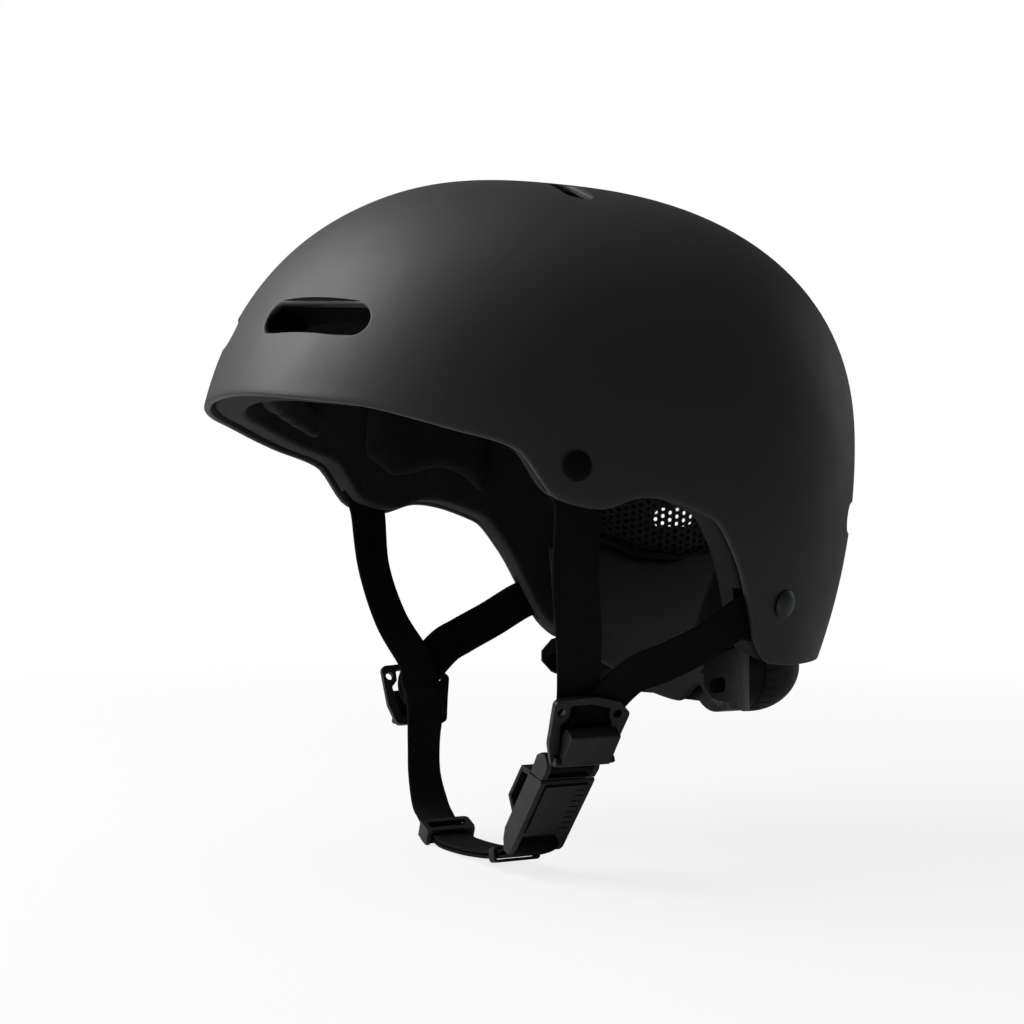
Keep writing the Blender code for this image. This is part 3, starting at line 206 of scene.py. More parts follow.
class Surface:
    """A material and the nodes that give its detail, in metres on the object."""

    def __init__(self, name, colour, roughness, **sockets):
        self.material = bpy.data.materials.new(name)
        self.material.use_nodes = True
        self.tree = self.material.node_tree
        self.shader = self.tree.nodes["Principled BSDF"]
        self.shader.inputs["Base Color"].default_value = (*colour, 1)
        self.shader.inputs["Roughness"].default_value = roughness
        for socket, value in sockets.items():
            self.shader.inputs[socket.replace("_", " ")].default_value = value
        self.height = None
        self.place = self.add("ShaderNodeTexCoord").outputs["Object"]

    def add(self, kind, inputs=(), **settings):
        node = self.tree.nodes.new(kind)
        for key, value in settings.items():
            setattr(node, key, value)
        for key, value in dict(inputs).items():
            if isinstance(value, bpy.types.NodeSocket):
                self.tree.links.new(value, node.inputs[key])
            else:
                node.inputs[key].default_value = value
        return node

    def maths(self, operation, first, second=0.0):
        return self.add("ShaderNodeMath", {0: first, 1: second}, operation=operation).outputs[0]

    def noise(self, scale, detail=3.0, stretch=None):
        place = self.place
        if stretch:
            place = self.add("ShaderNodeMapping", {"Vector": place, "Scale": stretch}).outputs[0]
        inputs = {"Vector": place, "Scale": scale, "Detail": detail}
        return self.add("ShaderNodeTexNoise", inputs).outputs["Fac"]

    def cells(self, scale):
        inputs = {"Vector": self.place, "Scale": scale}
        return self.add("ShaderNodeTexVoronoi", inputs).outputs["Distance"]

    def vary_roughness(self, value, low, high):
        ramp = self.add("ShaderNodeMapRange", {"Value": value, "From Min": 0.3, "From Max": 0.7,
                                               "To Min": low, "To Max": high})
        self.tree.links.new(ramp.outputs[0], self.shader.inputs["Roughness"])
        return self

    def vary_colour(self, value, first, second):
        mix = self.add("ShaderNodeMix", {"Factor": value}, data_type="RGBA")
        mix.inputs[6].default_value = (*first, 1)
        mix.inputs[7].default_value = (*second, 1)
        self.tree.links.new(mix.outputs[2], self.shader.inputs["Base Color"])
        return self

    def bump(self, value, depth, strength=1.0):
        """Relief of a depth in metres, on top of what is there already."""
        inputs = {"Height": value, "Distance": depth, "Strength": strength}
        if self.height:
            inputs["Normal"] = self.height
        self.height = self.add("ShaderNodeBump", inputs).outputs["Normal"]
        self.tree.links.new(self.height, self.shader.inputs["Normal"])
        return self


def shell_surface():
    made = Surface("matt_black_shell", (0.010, 0.010, 0.0112), 0.58, Specular_IOR_Level=0.40)
    patches = made.noise(9, 4)
    made.vary_colour(patches, (0.0085, 0.0085, 0.0095), (0.0125, 0.0125, 0.0138))
    made.vary_roughness(made.noise(35, 5), 0.54, 0.62)
    return made.bump(made.noise(2600, 2), 0.00003).bump(made.noise(420, 2), 0.00004).material


def foam_surface(name, light=1.0):
    made = Surface(name, (0.009, 0.009, 0.0095), 0.88, Specular_IOR_Level=0.16 * light)
    low, high = 0.010 * light, 0.016 * light
    made.vary_colour(made.noise(60, 4), (low, low, low * 1.06), (high, high, high * 1.05))
    return made.bump(made.cells(620), 0.00022).bump(made.noise(1800, 2), 0.00008).material


def fabric_surface(name, light=1.0):
    made = Surface(name, (0.008, 0.008, 0.0085), 0.94, Specular_IOR_Level=0.10, Sheen_Weight=0.03,
                   Sheen_Roughness=0.6)
    low, high = 0.006 * light, 0.010 * light
    made.vary_colour(made.noise(380, 4), (low, low, low), (high, high, high * 1.05))
    fibres = made.noise(2400, 3, (1, 1, 0.45))
    return made.bump(fibres, 0.00016).bump(made.noise(160, 2), 0.0002).material


def mesh_surface():
    made = Surface("black_mesh_fabric", (0.013, 0.013, 0.013), 0.80, Specular_IOR_Level=0.25,
                   Sheen_Weight=0.04)
    made.vary_colour(made.noise(500, 3), (0.009, 0.009, 0.009), (0.018, 0.0175, 0.017))
    return made.bump(made.noise(2600, 2, (1, 1, 0.5)), 0.00014).material


def webbing_surface():
    """Plain weave: fine warp yarns along the strap, crossed by thicker picks, with painted shade
    that darkens the weave's hollows below its tops.
    """
    made = Surface("black_webbing", (0.003, 0.003, 0.0033), 0.76, Specular_IOR_Level=0.07)
    across_pitch, along_pitch = 0.00095, 0.00155
    uv = made.add("ShaderNodeUVMap", uv_map="weave").outputs[0]
    parts = made.add("ShaderNodeSeparateXYZ", {0: uv}).outputs
    across = made.maths("SINE", made.maths("MULTIPLY", parts[0], 2 * pi / across_pitch))
    along = made.maths("SINE", made.maths("MULTIPLY", parts[1], 2 * pi / along_pitch))
    weave = made.maths("MULTIPLY", across, along)
    weave_height_and_shade = made.add("ShaderNodeMath", {0: weave, 1: 0.5, 2: 0.5},
                      operation="MULTIPLY_ADD").outputs[0]
    # Painted shade: the colour follows the weave's height, darker in its hollows
    made.vary_colour(weave_height_and_shade, (0.0018, 0.0018, 0.0020), (0.0050, 0.0050, 0.0055))
    return made.bump(weave_height_and_shade, 0.00022).bump(made.noise(3200, 2), 0.00005).material


def plastic_surface(name, light=1.0):
    made = Surface(name, (0.0065, 0.0065, 0.0068), 0.48, Specular_IOR_Level=0.28 * light)
    low, high = 0.0054 * light, 0.0076 * light
    made.vary_colour(made.noise(45, 4), (low, low, low * 1.05), (high, high, high * 1.05))
    made.vary_roughness(made.noise(140, 4), 0.43, 0.53)
    return made.bump(made.noise(3400, 2), 0.00003).material


def rubber_surface():
    made = Surface("black_rubber", (0.006, 0.0062, 0.006), 0.60, Specular_IOR_Level=0.24)
    made.vary_roughness(made.noise(90, 4), 0.55, 0.70)
    return made.bump(made.noise(1500, 3), 0.00006).material


def rivet_surface(name, colour, metallic, level):
    made = Surface(name, colour, 0.40, Metallic=metallic, Specular_IOR_Level=level)
    made.vary_roughness(made.noise(300, 3), 0.34, 0.46)
    return made.bump(made.noise(2200, 2), 0.00002).material


def steel_surface(name, colour):
    made = Surface(name, colour, 0.32, Metallic=1.0)
    made.vary_roughness(made.noise(700, 3, (1, 0.1, 1)), 0.24, 0.40)
    return made.bump(made.noise(900, 2, (1, 0.08, 1)), 0.00002).material


SHELL = shell_surface()
FOAM = foam_surface("black_foam")
# A darker copy of the foam: painted shade for the walls of the liner's vents and the faces beside
# them
VENT_SHADE_FOAM = foam_surface("black_foam_painted_vent_shade", 0.25)
FABRIC = fabric_surface("black_fabric")
LINING = fabric_surface("black_neoprene", 2.2)
MESH = mesh_surface()
WEBBING = webbing_surface()
PLASTIC = plastic_surface("black_plastic")
# The plastic at half its light and sheen: painted shade for the cradle bands and the dial's housing
# and cover
HALF_SHADED_PLASTIC = plastic_surface("half_shaded_black_plastic", 0.5)
SHADE_PLASTIC = plastic_surface("shaded_black_plastic", 0.1)
RUBBER = rubber_surface()
RIVET = rivet_surface("dark_satin_metal", (0.024, 0.028, 0.027), 0.55, 0.4)
FLAT_RIVET = rivet_surface("black_coated_metal", (0.0025, 0.0025, 0.0027), 0.0, 0.06)
STEEL = steel_surface("stainless_steel", (0.42, 0.42, 0.43))
DARK_STEEL = steel_surface("blackened_steel", (0.04, 0.04, 0.042))


# ---------------------------------------------------------------- objects and meshes


def piece(name, mesh, material):
    mesh.materials.clear()
    mesh.materials.append(material)
    obj = bpy.data.objects.new(name, mesh)
    bpy.context.scene.collection.objects.link(obj)
    return obj


def settle(obj):
    """Apply the modifiers, so that what shows is the mesh itself."""
    graph = bpy.context.evaluated_depsgraph_get()
    mesh = bpy.data.meshes.new_from_object(obj.evaluated_get(graph))
    obj.modifiers.clear()
    obj.data = mesh
    return obj


def polish(obj, angle=38):
    obj.data.shade_smooth()
    obj.data.set_sharp_from_angle(angle=radians(angle))
    return obj


def thicken(obj, wall, offset=-1.0):
    change = obj.modifiers.new("wall", "SOLIDIFY")
    change.thickness = wall
    change.offset = offset
    change.use_even_offset = True
    return obj


def soften(obj, width, segments=3, angle=40):
    change = obj.modifiers.new("soft_edges", "BEVEL")
    change.width = width
    change.segments = segments
    change.limit_method = "ANGLE"
    change.angle_limit = radians(angle)
    return obj


def subdivide(obj):
    change = obj.modifiers.new("smoother", "SUBSURF")
    change.levels = change.render_levels = 1
    return obj


def cut(obj, meshes):
    """Cut meshes out of an object and apply the result."""
    cutters = []
    for mesh in meshes:
        cutter = bpy.data.objects.new("cutter", mesh)
        bpy.context.scene.collection.objects.link(cutter)
        cutters.append(cutter)
        change = obj.modifiers.new("cut", "BOOLEAN")
        change.operation = "DIFFERENCE"
        change.object = cutter
    settle(obj)
    for cutter in cutters:
        bpy.data.objects.remove(cutter)
    return obj


def mend(mesh, merge=0.0, flatten=False, outwards=False):
    """Merge double vertices, join flat triangles into whole faces, or turn faces outwards."""
    shape = bmesh.new()
    shape.from_mesh(mesh)
    if merge:
        bmesh.ops.remove_doubles(shape, verts=shape.verts, dist=merge)
    if flatten:
        bmesh.ops.dissolve_limit(shape, angle_limit=radians(1.0), verts=shape.verts,
                                 edges=shape.edges)
    if outwards:
        bmesh.ops.recalc_face_normals(shape, faces=shape.faces)
    shape.to_mesh(mesh)
    shape.free()


def cad_mesh(node):
    """A copy of a CAD node's mesh, with its split vertices and flat triangles joined."""
    mesh = frame["nodes"][node].data.copy()
    mend(mesh, merge=0.000005, flatten=True)
    return mesh


def mesh_from(name, points, faces):
    mesh = bpy.data.meshes.new(name)
    mesh.from_pydata(points, [], faces)
    return mesh


def grid_faces(rows, columns, wrap_rows=False, wrap_columns=False):
    faces = []
    for i in range(rows if wrap_rows else rows - 1):
        for j in range(columns if wrap_columns else columns - 1):
            here, there = i * columns, (i + 1) % rows * columns
            faces.append((here + j, here + (j + 1) % columns, there + (j + 1) % columns, there + j))
    return faces


def prism(outline, low, high):
    """A closed outline filled between two heights."""
    count = len(outline)
    points = [(x, y, low) for x, y in outline] + [(x, y, high) for x, y in outline]
    faces = [tuple(range(count))[::-1], tuple(range(count, 2 * count))]
    faces += [(i, (i + 1) % count, count + (i + 1) % count, count + i) for i in range(count)]
    return mesh_from("prism", points, faces)


def block(size, centre):
    x, y, z = (s / 2 for s in size)
    outline = [(centre[0] - x, centre[1] - y), (centre[0] + x, centre[1] - y),
               (centre[0] + x, centre[1] + y), (centre[0] - x, centre[1] + y)]
    return prism(outline, centre[2] - z, centre[2] + z)


def arc(radius, start, end, steps, centre=(0, 0)):
    turns = [radians(start + (end - start) * i / steps) for i in range(steps + 1)]
    return [(centre[0] + radius * cos(t), centre[1] + radius * sin(t)) for t in turns]


def stadium(length, width, steps=14):
    if width > length:
        return [(-y, x) for x, y in stadium(width, length, steps)]
    end = (length - width) / 2
    return (arc(width / 2, -90, 90, steps, (end, 0)) + arc(width / 2, 90, 270, steps, (-end, 0)))


def smooth(values, steps):
    """Values along a Catmull-Rom curve through the given ones."""
    ends = [2 * values[0] - values[1]] + list(values) + [2 * values[-1] - values[-2]]
    curve = []
    for a, b, c, d in zip(ends, ends[1:], ends[2:], ends[3:]):
        for k in range(steps):
            t = k / steps
            curve.append(0.5 * (2 * b + (c - a) * t + (2 * a - 5 * b + 4 * c - d) * t**2
                                + (3 * b - a - 3 * c + d) * t**3))
    return curve + [values[-1]]


def span(start, end, steps):
    return [start + (end - start) * i / steps for i in range(steps + 1)]


def frame_at(origin, width, up):
    """A frame with local X along the width, Y upwards and Z out of the face."""
    up = Vector(up).normalized()
    width = Vector(width)
    width = (width - width.dot(up) * up).normalized()
    turn = Matrix((width, up, width.cross(up))).transposed().to_4x4()
    return Matrix.Translation(origin) @ turn


# ---------------------------------------------------------------- the shell's form


def reach(height, inset, full, widest, roundness):
    """How far the form stands out towards the front, a side or the back at a height."""
    above = (height - widest) / (CROWN - inset - widest)
    if above > 0:
        return (full - inset) * max(1e-9, 1 - above**DOME_POWER) ** (1 / roundness)
    return full * (1 - UNDERCUT * ((widest - height) / UNDERCUT_DEPTH) ** 2) - inset


def form_point(angle, height, inset=0.0):
    """A point of the shell's outer surface, or inside it, at degrees from the front."""
    forward, aside = cos(radians(angle)), sin(radians(angle))
    along = reach(height, inset, *(FRONT if forward > 0 else BACK))
    across = reach(height, inset, *SIDE)
    power = PLAN_POWER_FRONT if forward > 0 else PLAN_POWER_BACK
    radius = (abs(forward / along) ** power + abs(aside / across) ** power) ** (-1 / power)
    return Vector((radius * aside, -radius * forward, height))


def on_form(angle, height, inset=0.0, side=LEFT, tilt=0):
    """A frame on the form's surface, with local Z outwards and Y upwards, turned by a tilt."""
    step = 0.0005
    point = form_point(angle, height)
    along = form_point(angle + 0.2, height) - form_point(angle - 0.2, height)
    up = form_point(angle, height + step) - form_point(angle, height - step)
    if side == RIGHT:
        point.x, along.x, up.x = -point.x, -along.x, -up.x
        along, tilt = -along, -tilt
    place = frame_at(point, along, up)
    return place @ Matrix.Rotation(radians(tilt), 4, "Z") @ Matrix.Translation((0, 0, -inset))


def between(table, angle):
    """The height at an angle in a table, on a smooth curve that doesn't overshoot its points."""
    slopes = [(b[1] - a[1]) / (b[0] - a[0]) for a, b in zip(table, table[1:])]
    bends = [0.0]
    for before, after in zip(slopes, slopes[1:]):
        level = before * after <= 0
        bends.append(0.0 if level else 2 * before * after / (before + after))
    bends.append(0.0)
    i = max(k for k in range(len(slopes)) if k == 0 or table[k][0] <= angle)
    width = table[i + 1][0] - table[i][0]
    t = (angle - table[i][0]) / width
    return (table[i][1] * (1 + 2 * t) * (1 - t) ** 2 + table[i + 1][1] * t**2 * (3 - 2 * t)
            + width * (bends[i] * t * (1 - t) ** 2 - bends[i + 1] * t**2 * (1 - t)))


def dome(inset, recess):
    """The whole form from its crown down to the shell's edge, as an open surface."""
    crown = CROWN - inset
    points, faces = [(0, 0, crown)], []
    for j in range(MERIDIANS):
        turn = 360 * j / MERIDIANS
        angle, side = (turn, LEFT) if turn <= 180 else (360 - turn, RIGHT)
        foot = between(EDGE, angle) + recess
        for ring in range(1, RINGS + 1):
            height = crown - (crown - foot) * (1 - cos(pi / 2 * ring / RINGS))
            point = form_point(angle, height, inset)
            points.append((side * point.x, point.y, point.z))
    for j in range(MERIDIANS):
        here, there = 1 + j * RINGS, 1 + (j + 1) % MERIDIANS * RINGS
        faces.append((0, here, there))
        for i in range(RINGS - 1):
            faces.append((here + i, here + i + 1, there + i + 1, there + i))
    return mesh_from("dome", points, faces)


# ---------------------------------------------------------------- shell and liner


def vent_frames(vent):
    """Each side's name, and the frame of a vent's mouth on that side."""
    angle, height, _, _, tilt = vent
    return [(name, on_form(angle, height, side=side, tilt=tilt)) for side, name in SIDES]


def vent_cutters(vent, grow):
    meshes = []
    for _, at in vent_frames(vent):
        outline = stadium(vent[2] + 2 * grow, vent[3] + 2 * grow)
        mesh = prism(outline, -VENT_DEPTH, VENT_HEADROOM)
        mesh.transform(at)
        meshes.append(mesh)
    return meshes


def rivet_cutters():
    meshes = []
    for start in (FRONT_STRAP_START, REAR_STRAP_START):
        for side, _ in SIDES:
            mesh = prism(arc(RIVET_HOLE_RADIUS, 0, 345, 23), -0.006, 0.004)
            mesh.transform(on_form(*start[1], side=side))
            meshes.append(mesh)
    return meshes


def strap_pockets():
    """Room in the liner's outer face for each strap's end."""
    meshes = []
    for start in (FRONT_STRAP_START, REAR_STRAP_START):
        for side, _ in SIDES:
            way = on_form(*start[1]).inverted() @ form_point(*start[2])
            mesh = block(POCKET_SIZE, POCKET_CENTRE)
            mesh.transform(on_form(*start[1], side=side, tilt=degrees(atan2(way.x, -way.y))))
            meshes.append(mesh)
    return meshes


def vent_rim(name, at, length, width, surface):
    """The rounded edge of a vent: a ring whose top runs smoothly into the shell's surface."""
    inverse = at.inverted()

    def height_over(x, y):
        start = at @ Vector((x, y, 0.03))
        way = at.to_3x3() @ Vector((0, 0, -1))
        hit = surface.ray_cast(start, way)[0]
        return (inverse @ hit).z

    section = [(VENT_RADIUS + 0.0006, 0.0002)]
    for turn in span(0, 90, 6):
        section.append((VENT_RADIUS * (1 - sin(radians(turn))),
                        VENT_RADIUS * (1 - cos(radians(turn)))))
    section += [(0, SHELL_WALL - 0.0004), (0.0005, SHELL_WALL), (VENT_RADIUS, SHELL_WALL)]
    rows = [[Vector((x, y, height_over(x, y) - depth))
             for x, y in stadium(length + 2 * off, width + 2 * off)] for off, depth in section]
    points = [point for row in rows for point in row]
    faces = grid_faces(len(rows), len(rows[0]), wrap_rows=True, wrap_columns=True)
    mesh = mesh_from(name, points, [face[::-1] for face in faces])
    mesh.transform(at)
    rim = polish(piece(name, mesh, SHELL), 50)
    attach(rim, "helmet")


def make_shell():
    shell = piece("shell", dome(0, 0), SHELL)
    surface = BVHTree.FromPolygons([v.co for v in shell.data.vertices],
                                   [tuple(p.vertices) for p in shell.data.polygons])
    soften(thicken(shell, SHELL_WALL), LIP_ROUNDING)
    settle(shell)
    vents = (("front_slot", FRONT_SLOT), ("top_vent", TOP_VENT), ("rear_vent", REAR_VENT))
    cutters = rivet_cutters()
    for _, vent in vents:
        cutters += vent_cutters(vent, VENT_RADIUS)
    polish(cut(shell, cutters), 35)
    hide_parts("outer_shell")
    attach(shell, "helmet")
    for vent_name, vent in vents:
        for side_name, at in vent_frames(vent):
            vent_rim(f"{side_name}_{vent_name}_edge", at, vent[2], vent[3], surface)


def paint_vent_shade(liner):
    """Give the walls of the liner's vents, and its inner face beside them, painted shade: a darker
    copy of the foam that stands for the unlit foam.
    """
    liner.data.materials.append(VENT_SHADE_FOAM)
    frames = [(vent, at.inverted()) for vent in (FRONT_SLOT, TOP_VENT, REAR_VENT)
              for _, at in vent_frames(vent)]
    for face in liner.data.polygons:
        for vent, inverse in frames:
            place = inverse @ face.center
            if (abs(place.x) < vent[2] / 2 + VENT_SHADE_PLAY
                    and abs(place.y) < vent[3] / 2 + VENT_SHADE_PLAY
                    and -VENT_DEPTH < place.z < VENT_HEADROOM):
                # This face gets the painted vent shade
                face.material_index = 1


def make_liner():
    liner = piece("liner", dome(LINER_INSET, LINER_RECESS), FOAM)
    soften(thicken(liner, LINER_WALL), FOAM_ROUNDING)
    settle(liner)
    cutters = strap_pockets()
    for vent in (FRONT_SLOT, TOP_VENT, REAR_VENT):
        cutters += vent_cutters(vent, LINER_VENT_PLAY)
    polish(cut(liner, cutters), 35)
    paint_vent_shade(liner)
    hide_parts("foam_liner")
    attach(liner, "helmet")


# ---------------------------------------------------------------- pads


def foam_pad(node):
    """A pad that cloth simulation swells from its remeshed solid, within a limit."""
    pad = piece(node + "_cover", cad_mesh(node), FABRIC)
    remesh = pad.modifiers.new("even_mesh", "REMESH")
    remesh.mode = "VOXEL"
    remesh.voxel_size = PAD_VOXEL
    settle(pad)
    for vertex, normal in zip(pad.data.vertices, [v.normal.copy() for v in pad.data.vertices]):
        vertex.co -= normal * PAD_SHRINK
    swell(pad)
    settle(subdivide(pad))
    pad.data.shade_smooth()
    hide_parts(node)
    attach(pad, "helmet")


def swell(pad):
    start = [vertex.co.copy() for vertex in pad.data.vertices]
    cloth = pad.modifiers.new("cloth", "CLOTH")
    cloth.settings.use_pressure = True
    cloth.settings.uniform_pressure_force = 4
    cloth.settings.effector_weights.gravity = 0
    cloth.point_cache.frame_start, cloth.point_cache.frame_end = 1, PAD_FRAMES
    scene = bpy.context.scene
    for number in range(1, PAD_FRAMES + 1):
        scene.frame_set(number)
    graph = bpy.context.evaluated_depsgraph_get()
    moved = [v.co.copy() for v in pad.evaluated_get(graph).data.vertices]
    pad.modifiers.clear()
    for vertex, before, after in zip(pad.data.vertices, start, moved):
        change = after - before
        if change.length > PAD_SWELL:
            change *= PAD_SWELL / change.length
        vertex.co = before + change
    scene.frame_set(1)


def tube(name, path, radius, material):
    curve = bpy.data.curves.new(name, "CURVE")
    curve.dimensions = "3D"
    curve.bevel_depth = radius
    curve.bevel_resolution = 2
    curve.use_fill_caps = True
    spline = curve.splines.new("POLY")
    spline.points.add(len(path) - 1)
    for point, place in zip(spline.points, path):
        point.co = (*place, 1)
    guide = bpy.data.objects.new("guide", curve)
    bpy.context.scene.collection.objects.link(guide)
    graph = bpy.context.evaluated_depsgraph_get()
    mesh = bpy.data.meshes.new_from_object(guide.evaluated_get(graph))
    bpy.data.objects.remove(guide)
    mesh.name = name
    obj = piece(name, mesh, material)
    obj.data.shade_smooth()
    return obj


def mesh_pad_point(turn, share, inset=MESH_PAD_INSET + 0.0012):
    """A point of the mesh pad, at degrees from straight back and a share of the way down."""
    angle = 180 - abs(turn)
    foot = between(MESH_PAD_EDGE, angle)
    point = form_point(angle, MESH_PAD_TOP + (foot - MESH_PAD_TOP) * share, inset)
    return Vector((point.x if turn < 0 else -point.x, point.y, point.z))


def make_mesh_pad():
    """Open mesh: each cell is a square with a round hole, and alternate columns are offset."""
    points, faces = [], []
    corners = [(-0.5, -0.5), (0, -0.5), (0.5, -0.5), (0.5, 0), (0.5, 0.5), (0, 0.5), (-0.5, 0.5),
               (-0.5, 0)]
    hole = arc(MESH_HOLE, 225, 540, 7)
    width = 2 * MESH_PAD_HALF_ANGLE / MESH_COLUMNS
    for column in range(MESH_COLUMNS):
        offset = 0.5 * (column % 2)
        for row in range(MESH_ROWS):
            first = len(points)
            for x, y in corners + hole:
                turn = -MESH_PAD_HALF_ANGLE + (column + 0.5 + x) * width
                share = min(1.0, max(0.0, (row + 0.5 + y + offset) / (MESH_ROWS + 0.5)))
                points.append(mesh_pad_point(turn, share))
            for k in range(8):
                on = (k + 1) % 8
                faces.append((first + k, first + on, first + 8 + on, first + 8 + k))
    pad = piece("rear_mesh_net", mesh_from("net", points, faces), MESH)
    mend(pad.data, merge=0.00002)
    settle(thicken(pad, MESH_PAD_WALL, 0))
    pad.data.shade_smooth()
    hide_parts("rear_mesh_pad")
    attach(pad, "helmet")
    turns = span(-MESH_PAD_HALF_ANGLE, MESH_PAD_HALF_ANGLE, 60)
    lower = [mesh_pad_point(turn, 1.0, MESH_PAD_INSET + 0.0016) for turn in turns]
    drop = Vector((0, 0, PIPING_DROP))
    binding = tube("mesh_pad_piping", [p - drop for p in lower], PIPING_RADIUS, MESH)
    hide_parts("mesh_pad_binding")
    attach(binding, "helmet")
    upper = [mesh_pad_point(turn, 0.0, MESH_PAD_INSET + 0.0014) for turn in turns]
    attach(tube("mesh_pad_top_piping", upper, TOP_PIPING_RADIUS, FABRIC), "helmet")


def nape_point(turn, radius, height):
    """A point about the nape's vertical axis, at degrees from straight back towards the left."""
    return Vector((radius * sin(radians(turn)), NAPE_Y + radius * cos(radians(turn)), height))


def make_nape_pad():
    """A soft sheet round the nape, flared at its top, with a rounded rim."""
    rows = []
    half = NAPE_PAD_WALL / 2
    rims = NAPE_PAD_LAYERS / NAPE_PAD_RIM_LAYERS
    for turn in span(NAPE_PAD_HALF_ANGLE, -NAPE_PAD_HALF_ANGLE, NAPE_PAD_COLUMNS):
        top, foot = between(NAPE_PAD_TOP, abs(turn)), between(NAPE_PAD_EDGE, abs(turn))
        end = min(1.0, (NAPE_PAD_HALF_ANGLE + 0.001 - abs(turn)) / NAPE_PAD_END) ** 0.5
        row = []
        for side in (1, -1):
            shares = span(0, 1, NAPE_PAD_LAYERS)
            for share in (shares if side == 1 else shares[::-1])[:-1]:
                rim = min(1.0, share * rims, (1 - share) * rims)
                round_off = (1 - (1 - rim) ** 2) ** 0.5 * end
                height = top + (foot - top) * share
                rise = max(0.0, (height - NAPE_PAD_BEND) / (NAPE_PAD_FLARE_TOP - NAPE_PAD_BEND))
                middle = NAPE_PAD_RADIUS + NAPE_PAD_FLARE * rise**NAPE_PAD_CURVE - half
                row.append(nape_point(turn, middle + side * half * round_off, height))
        rows.append(row)
    points = [point for row in rows for point in row]
    faces = grid_faces(len(rows), len(rows[0]), wrap_columns=True)
    last = (len(rows) - 1) * len(rows[0])
    faces.append(tuple(range(len(rows[0])))[::-1])
    faces.append(tuple(range(last, last + len(rows[0]))))
    mesh = mesh_from("nape_pad_cover", points, faces)
    mend(mesh, merge=0.00001, outwards=True)
    pad = piece("nape_pad_cover", mesh, LINING)
    pad.data.shade_smooth()
    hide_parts("nape_pad")
    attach(pad, "helmet")


# ---------------------------------------------------------------- webbing


def strap_section():
    """The webbing's cross-section, with full rounded edges and a slight crown."""
    half, rim = WEB / 2, WEB_WALL / 2
    top = [(x * (half - rim), rim * (1 + 0.06 * (1 - x * x))) for x in span(-1, 1, 10)]
    ends = [(half - rim + x, y) for x, y in arc(rim, 60, -60, 4)]
    under = [(-x, -y) for x, y in top]
    return top + ends + under + [(-x, -y) for x, y in ends]


def webbing(name, path, faces):
    """A woven strap along a path, with the way that it faces at each point of the path."""
    points = smooth([Vector(point) for point in path], STRAP_STEPS)
    normals = smooth([Vector(face) for face in faces], STRAP_STEPS)
    section = strap_section()
    rows, lengths, run = [], [], 0.0
    for i, point in enumerate(points):
        tangent = (points[min(i + 1, len(points) - 1)] - points[max(i - 1, 0)]).normalized()
        across = tangent.cross(normals[i]).normalized()
        out = across.cross(tangent)
        rows.append([point + across * x + out * z for x, z in section])
        run += (point - points[i - 1]).length if i else 0.0
        lengths.append(run)
    count = len(section)
    mesh = mesh_from(name, [p for row in rows for p in row],
                     grid_faces(len(rows), count, wrap_columns=True)
                     + [tuple(range(count))[::-1],
                        tuple(range((len(rows) - 1) * count, len(rows) * count))])
    weave = mesh.uv_layers.new(name="weave")
    for loop in mesh.loops:
        row, place = divmod(loop.vertex_index, count)
        weave.data[loop.index].uv = (section[place][0], lengths[row])
    mend(mesh, outwards=True)
    return polish(piece(name, mesh, WEBBING), 50)


def sided(point, side):
    return Vector((point[0] * side, point[1], point[2]))


def divider_frame(side):
    return frame_at(sided(DIVIDER_CENTRE, side), (0, side, 0), sided(DIVIDER_UP, side))


def behind_divider(side, places):
    """Points behind a divider, as places in its own frame, and how they face."""
    at = divider_frame(side)
    outwards = at.to_3x3() @ Vector((0, 0, 1))
    return [at @ Vector(place) for place in places], [outwards] * len(places)


BUCKLE = frame_at(BUCKLE_ORIGIN, (0, 1, 0), BUCKLE_UP)


def round_bar(bar_y, bar_z, turns):
    """Places round one of the buckle's bars, and the outward face at each."""
    bar = BUCKLE @ Vector((0, bar_y, bar_z))
    outs = [Vector((cos(radians(turn)), 0, sin(radians(turn)))) for turn in turns]
    return [(bar + out * BAR_WRAP, out) for out in outs]


def round_upper_bar():
    """The front strap's way down to the buckle, round its upper bar and back up behind itself."""
    bend = round_bar(UPPER_BAR_Y, UPPER_BAR_Z, UPPER_BAR_TURNS)
    back, inwards = behind_divider(LEFT, [(0, -0.008, CHIN_STRAP_Z), (0, -0.001, CHIN_STRAP_Z)])
    return [point for point, _ in bend] + back, [out for _, out in bend] + [-f for f in inwards]


def side_strap(name, node, side, start, points, faces):
    frames = [on_form(*place, inset=WEB_INSET, side=side) for place in start]
    path = [at.translation for at in frames] + points
    outwards = [at.to_3x3() @ Vector((0, 0, 1)) for at in frames] + faces
    strap = webbing(name, path, outwards)
    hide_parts(node)
    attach(strap, "helmet")


def make_side_straps():
    for side, name in SIDES:
        spread = STRAP_SPREAD if side == LEFT else 0
        ends, faces = behind_divider(side, [(spread, 0.006, REAR_STRAP_Z),
                                            (0.6 * spread, -0.004, REAR_STRAP_Z)])
        side_strap(f"{name}_rear_webbing", f"{name}_rear_strap", side, REAR_STRAP_START,
                   [sided(p, side) for p in REAR_STRAP_PATH] + ends,
                   [sided(f, side) for f in REAR_STRAP_FACES] + faces)
        ends, faces = behind_divider(side, [(-spread, 0.015, FRONT_STRAP_Z),
                                            (-0.8 * spread, 0.004, FRONT_STRAP_Z),
                                            (-0.3 * spread, -0.006, FRONT_STRAP_Z)])
        if side == LEFT:
            bend, bend_faces = round_upper_bar()
            ends, faces = ends + bend, faces + bend_faces
        side_strap(f"{name}_front_webbing", f"{name}_front_strap", side, FRONT_STRAP_START,
                   [sided(p, side) for p in FRONT_STRAP_PATH] + ends,
                   [sided(f, side) for f in FRONT_STRAP_FACES] + faces)


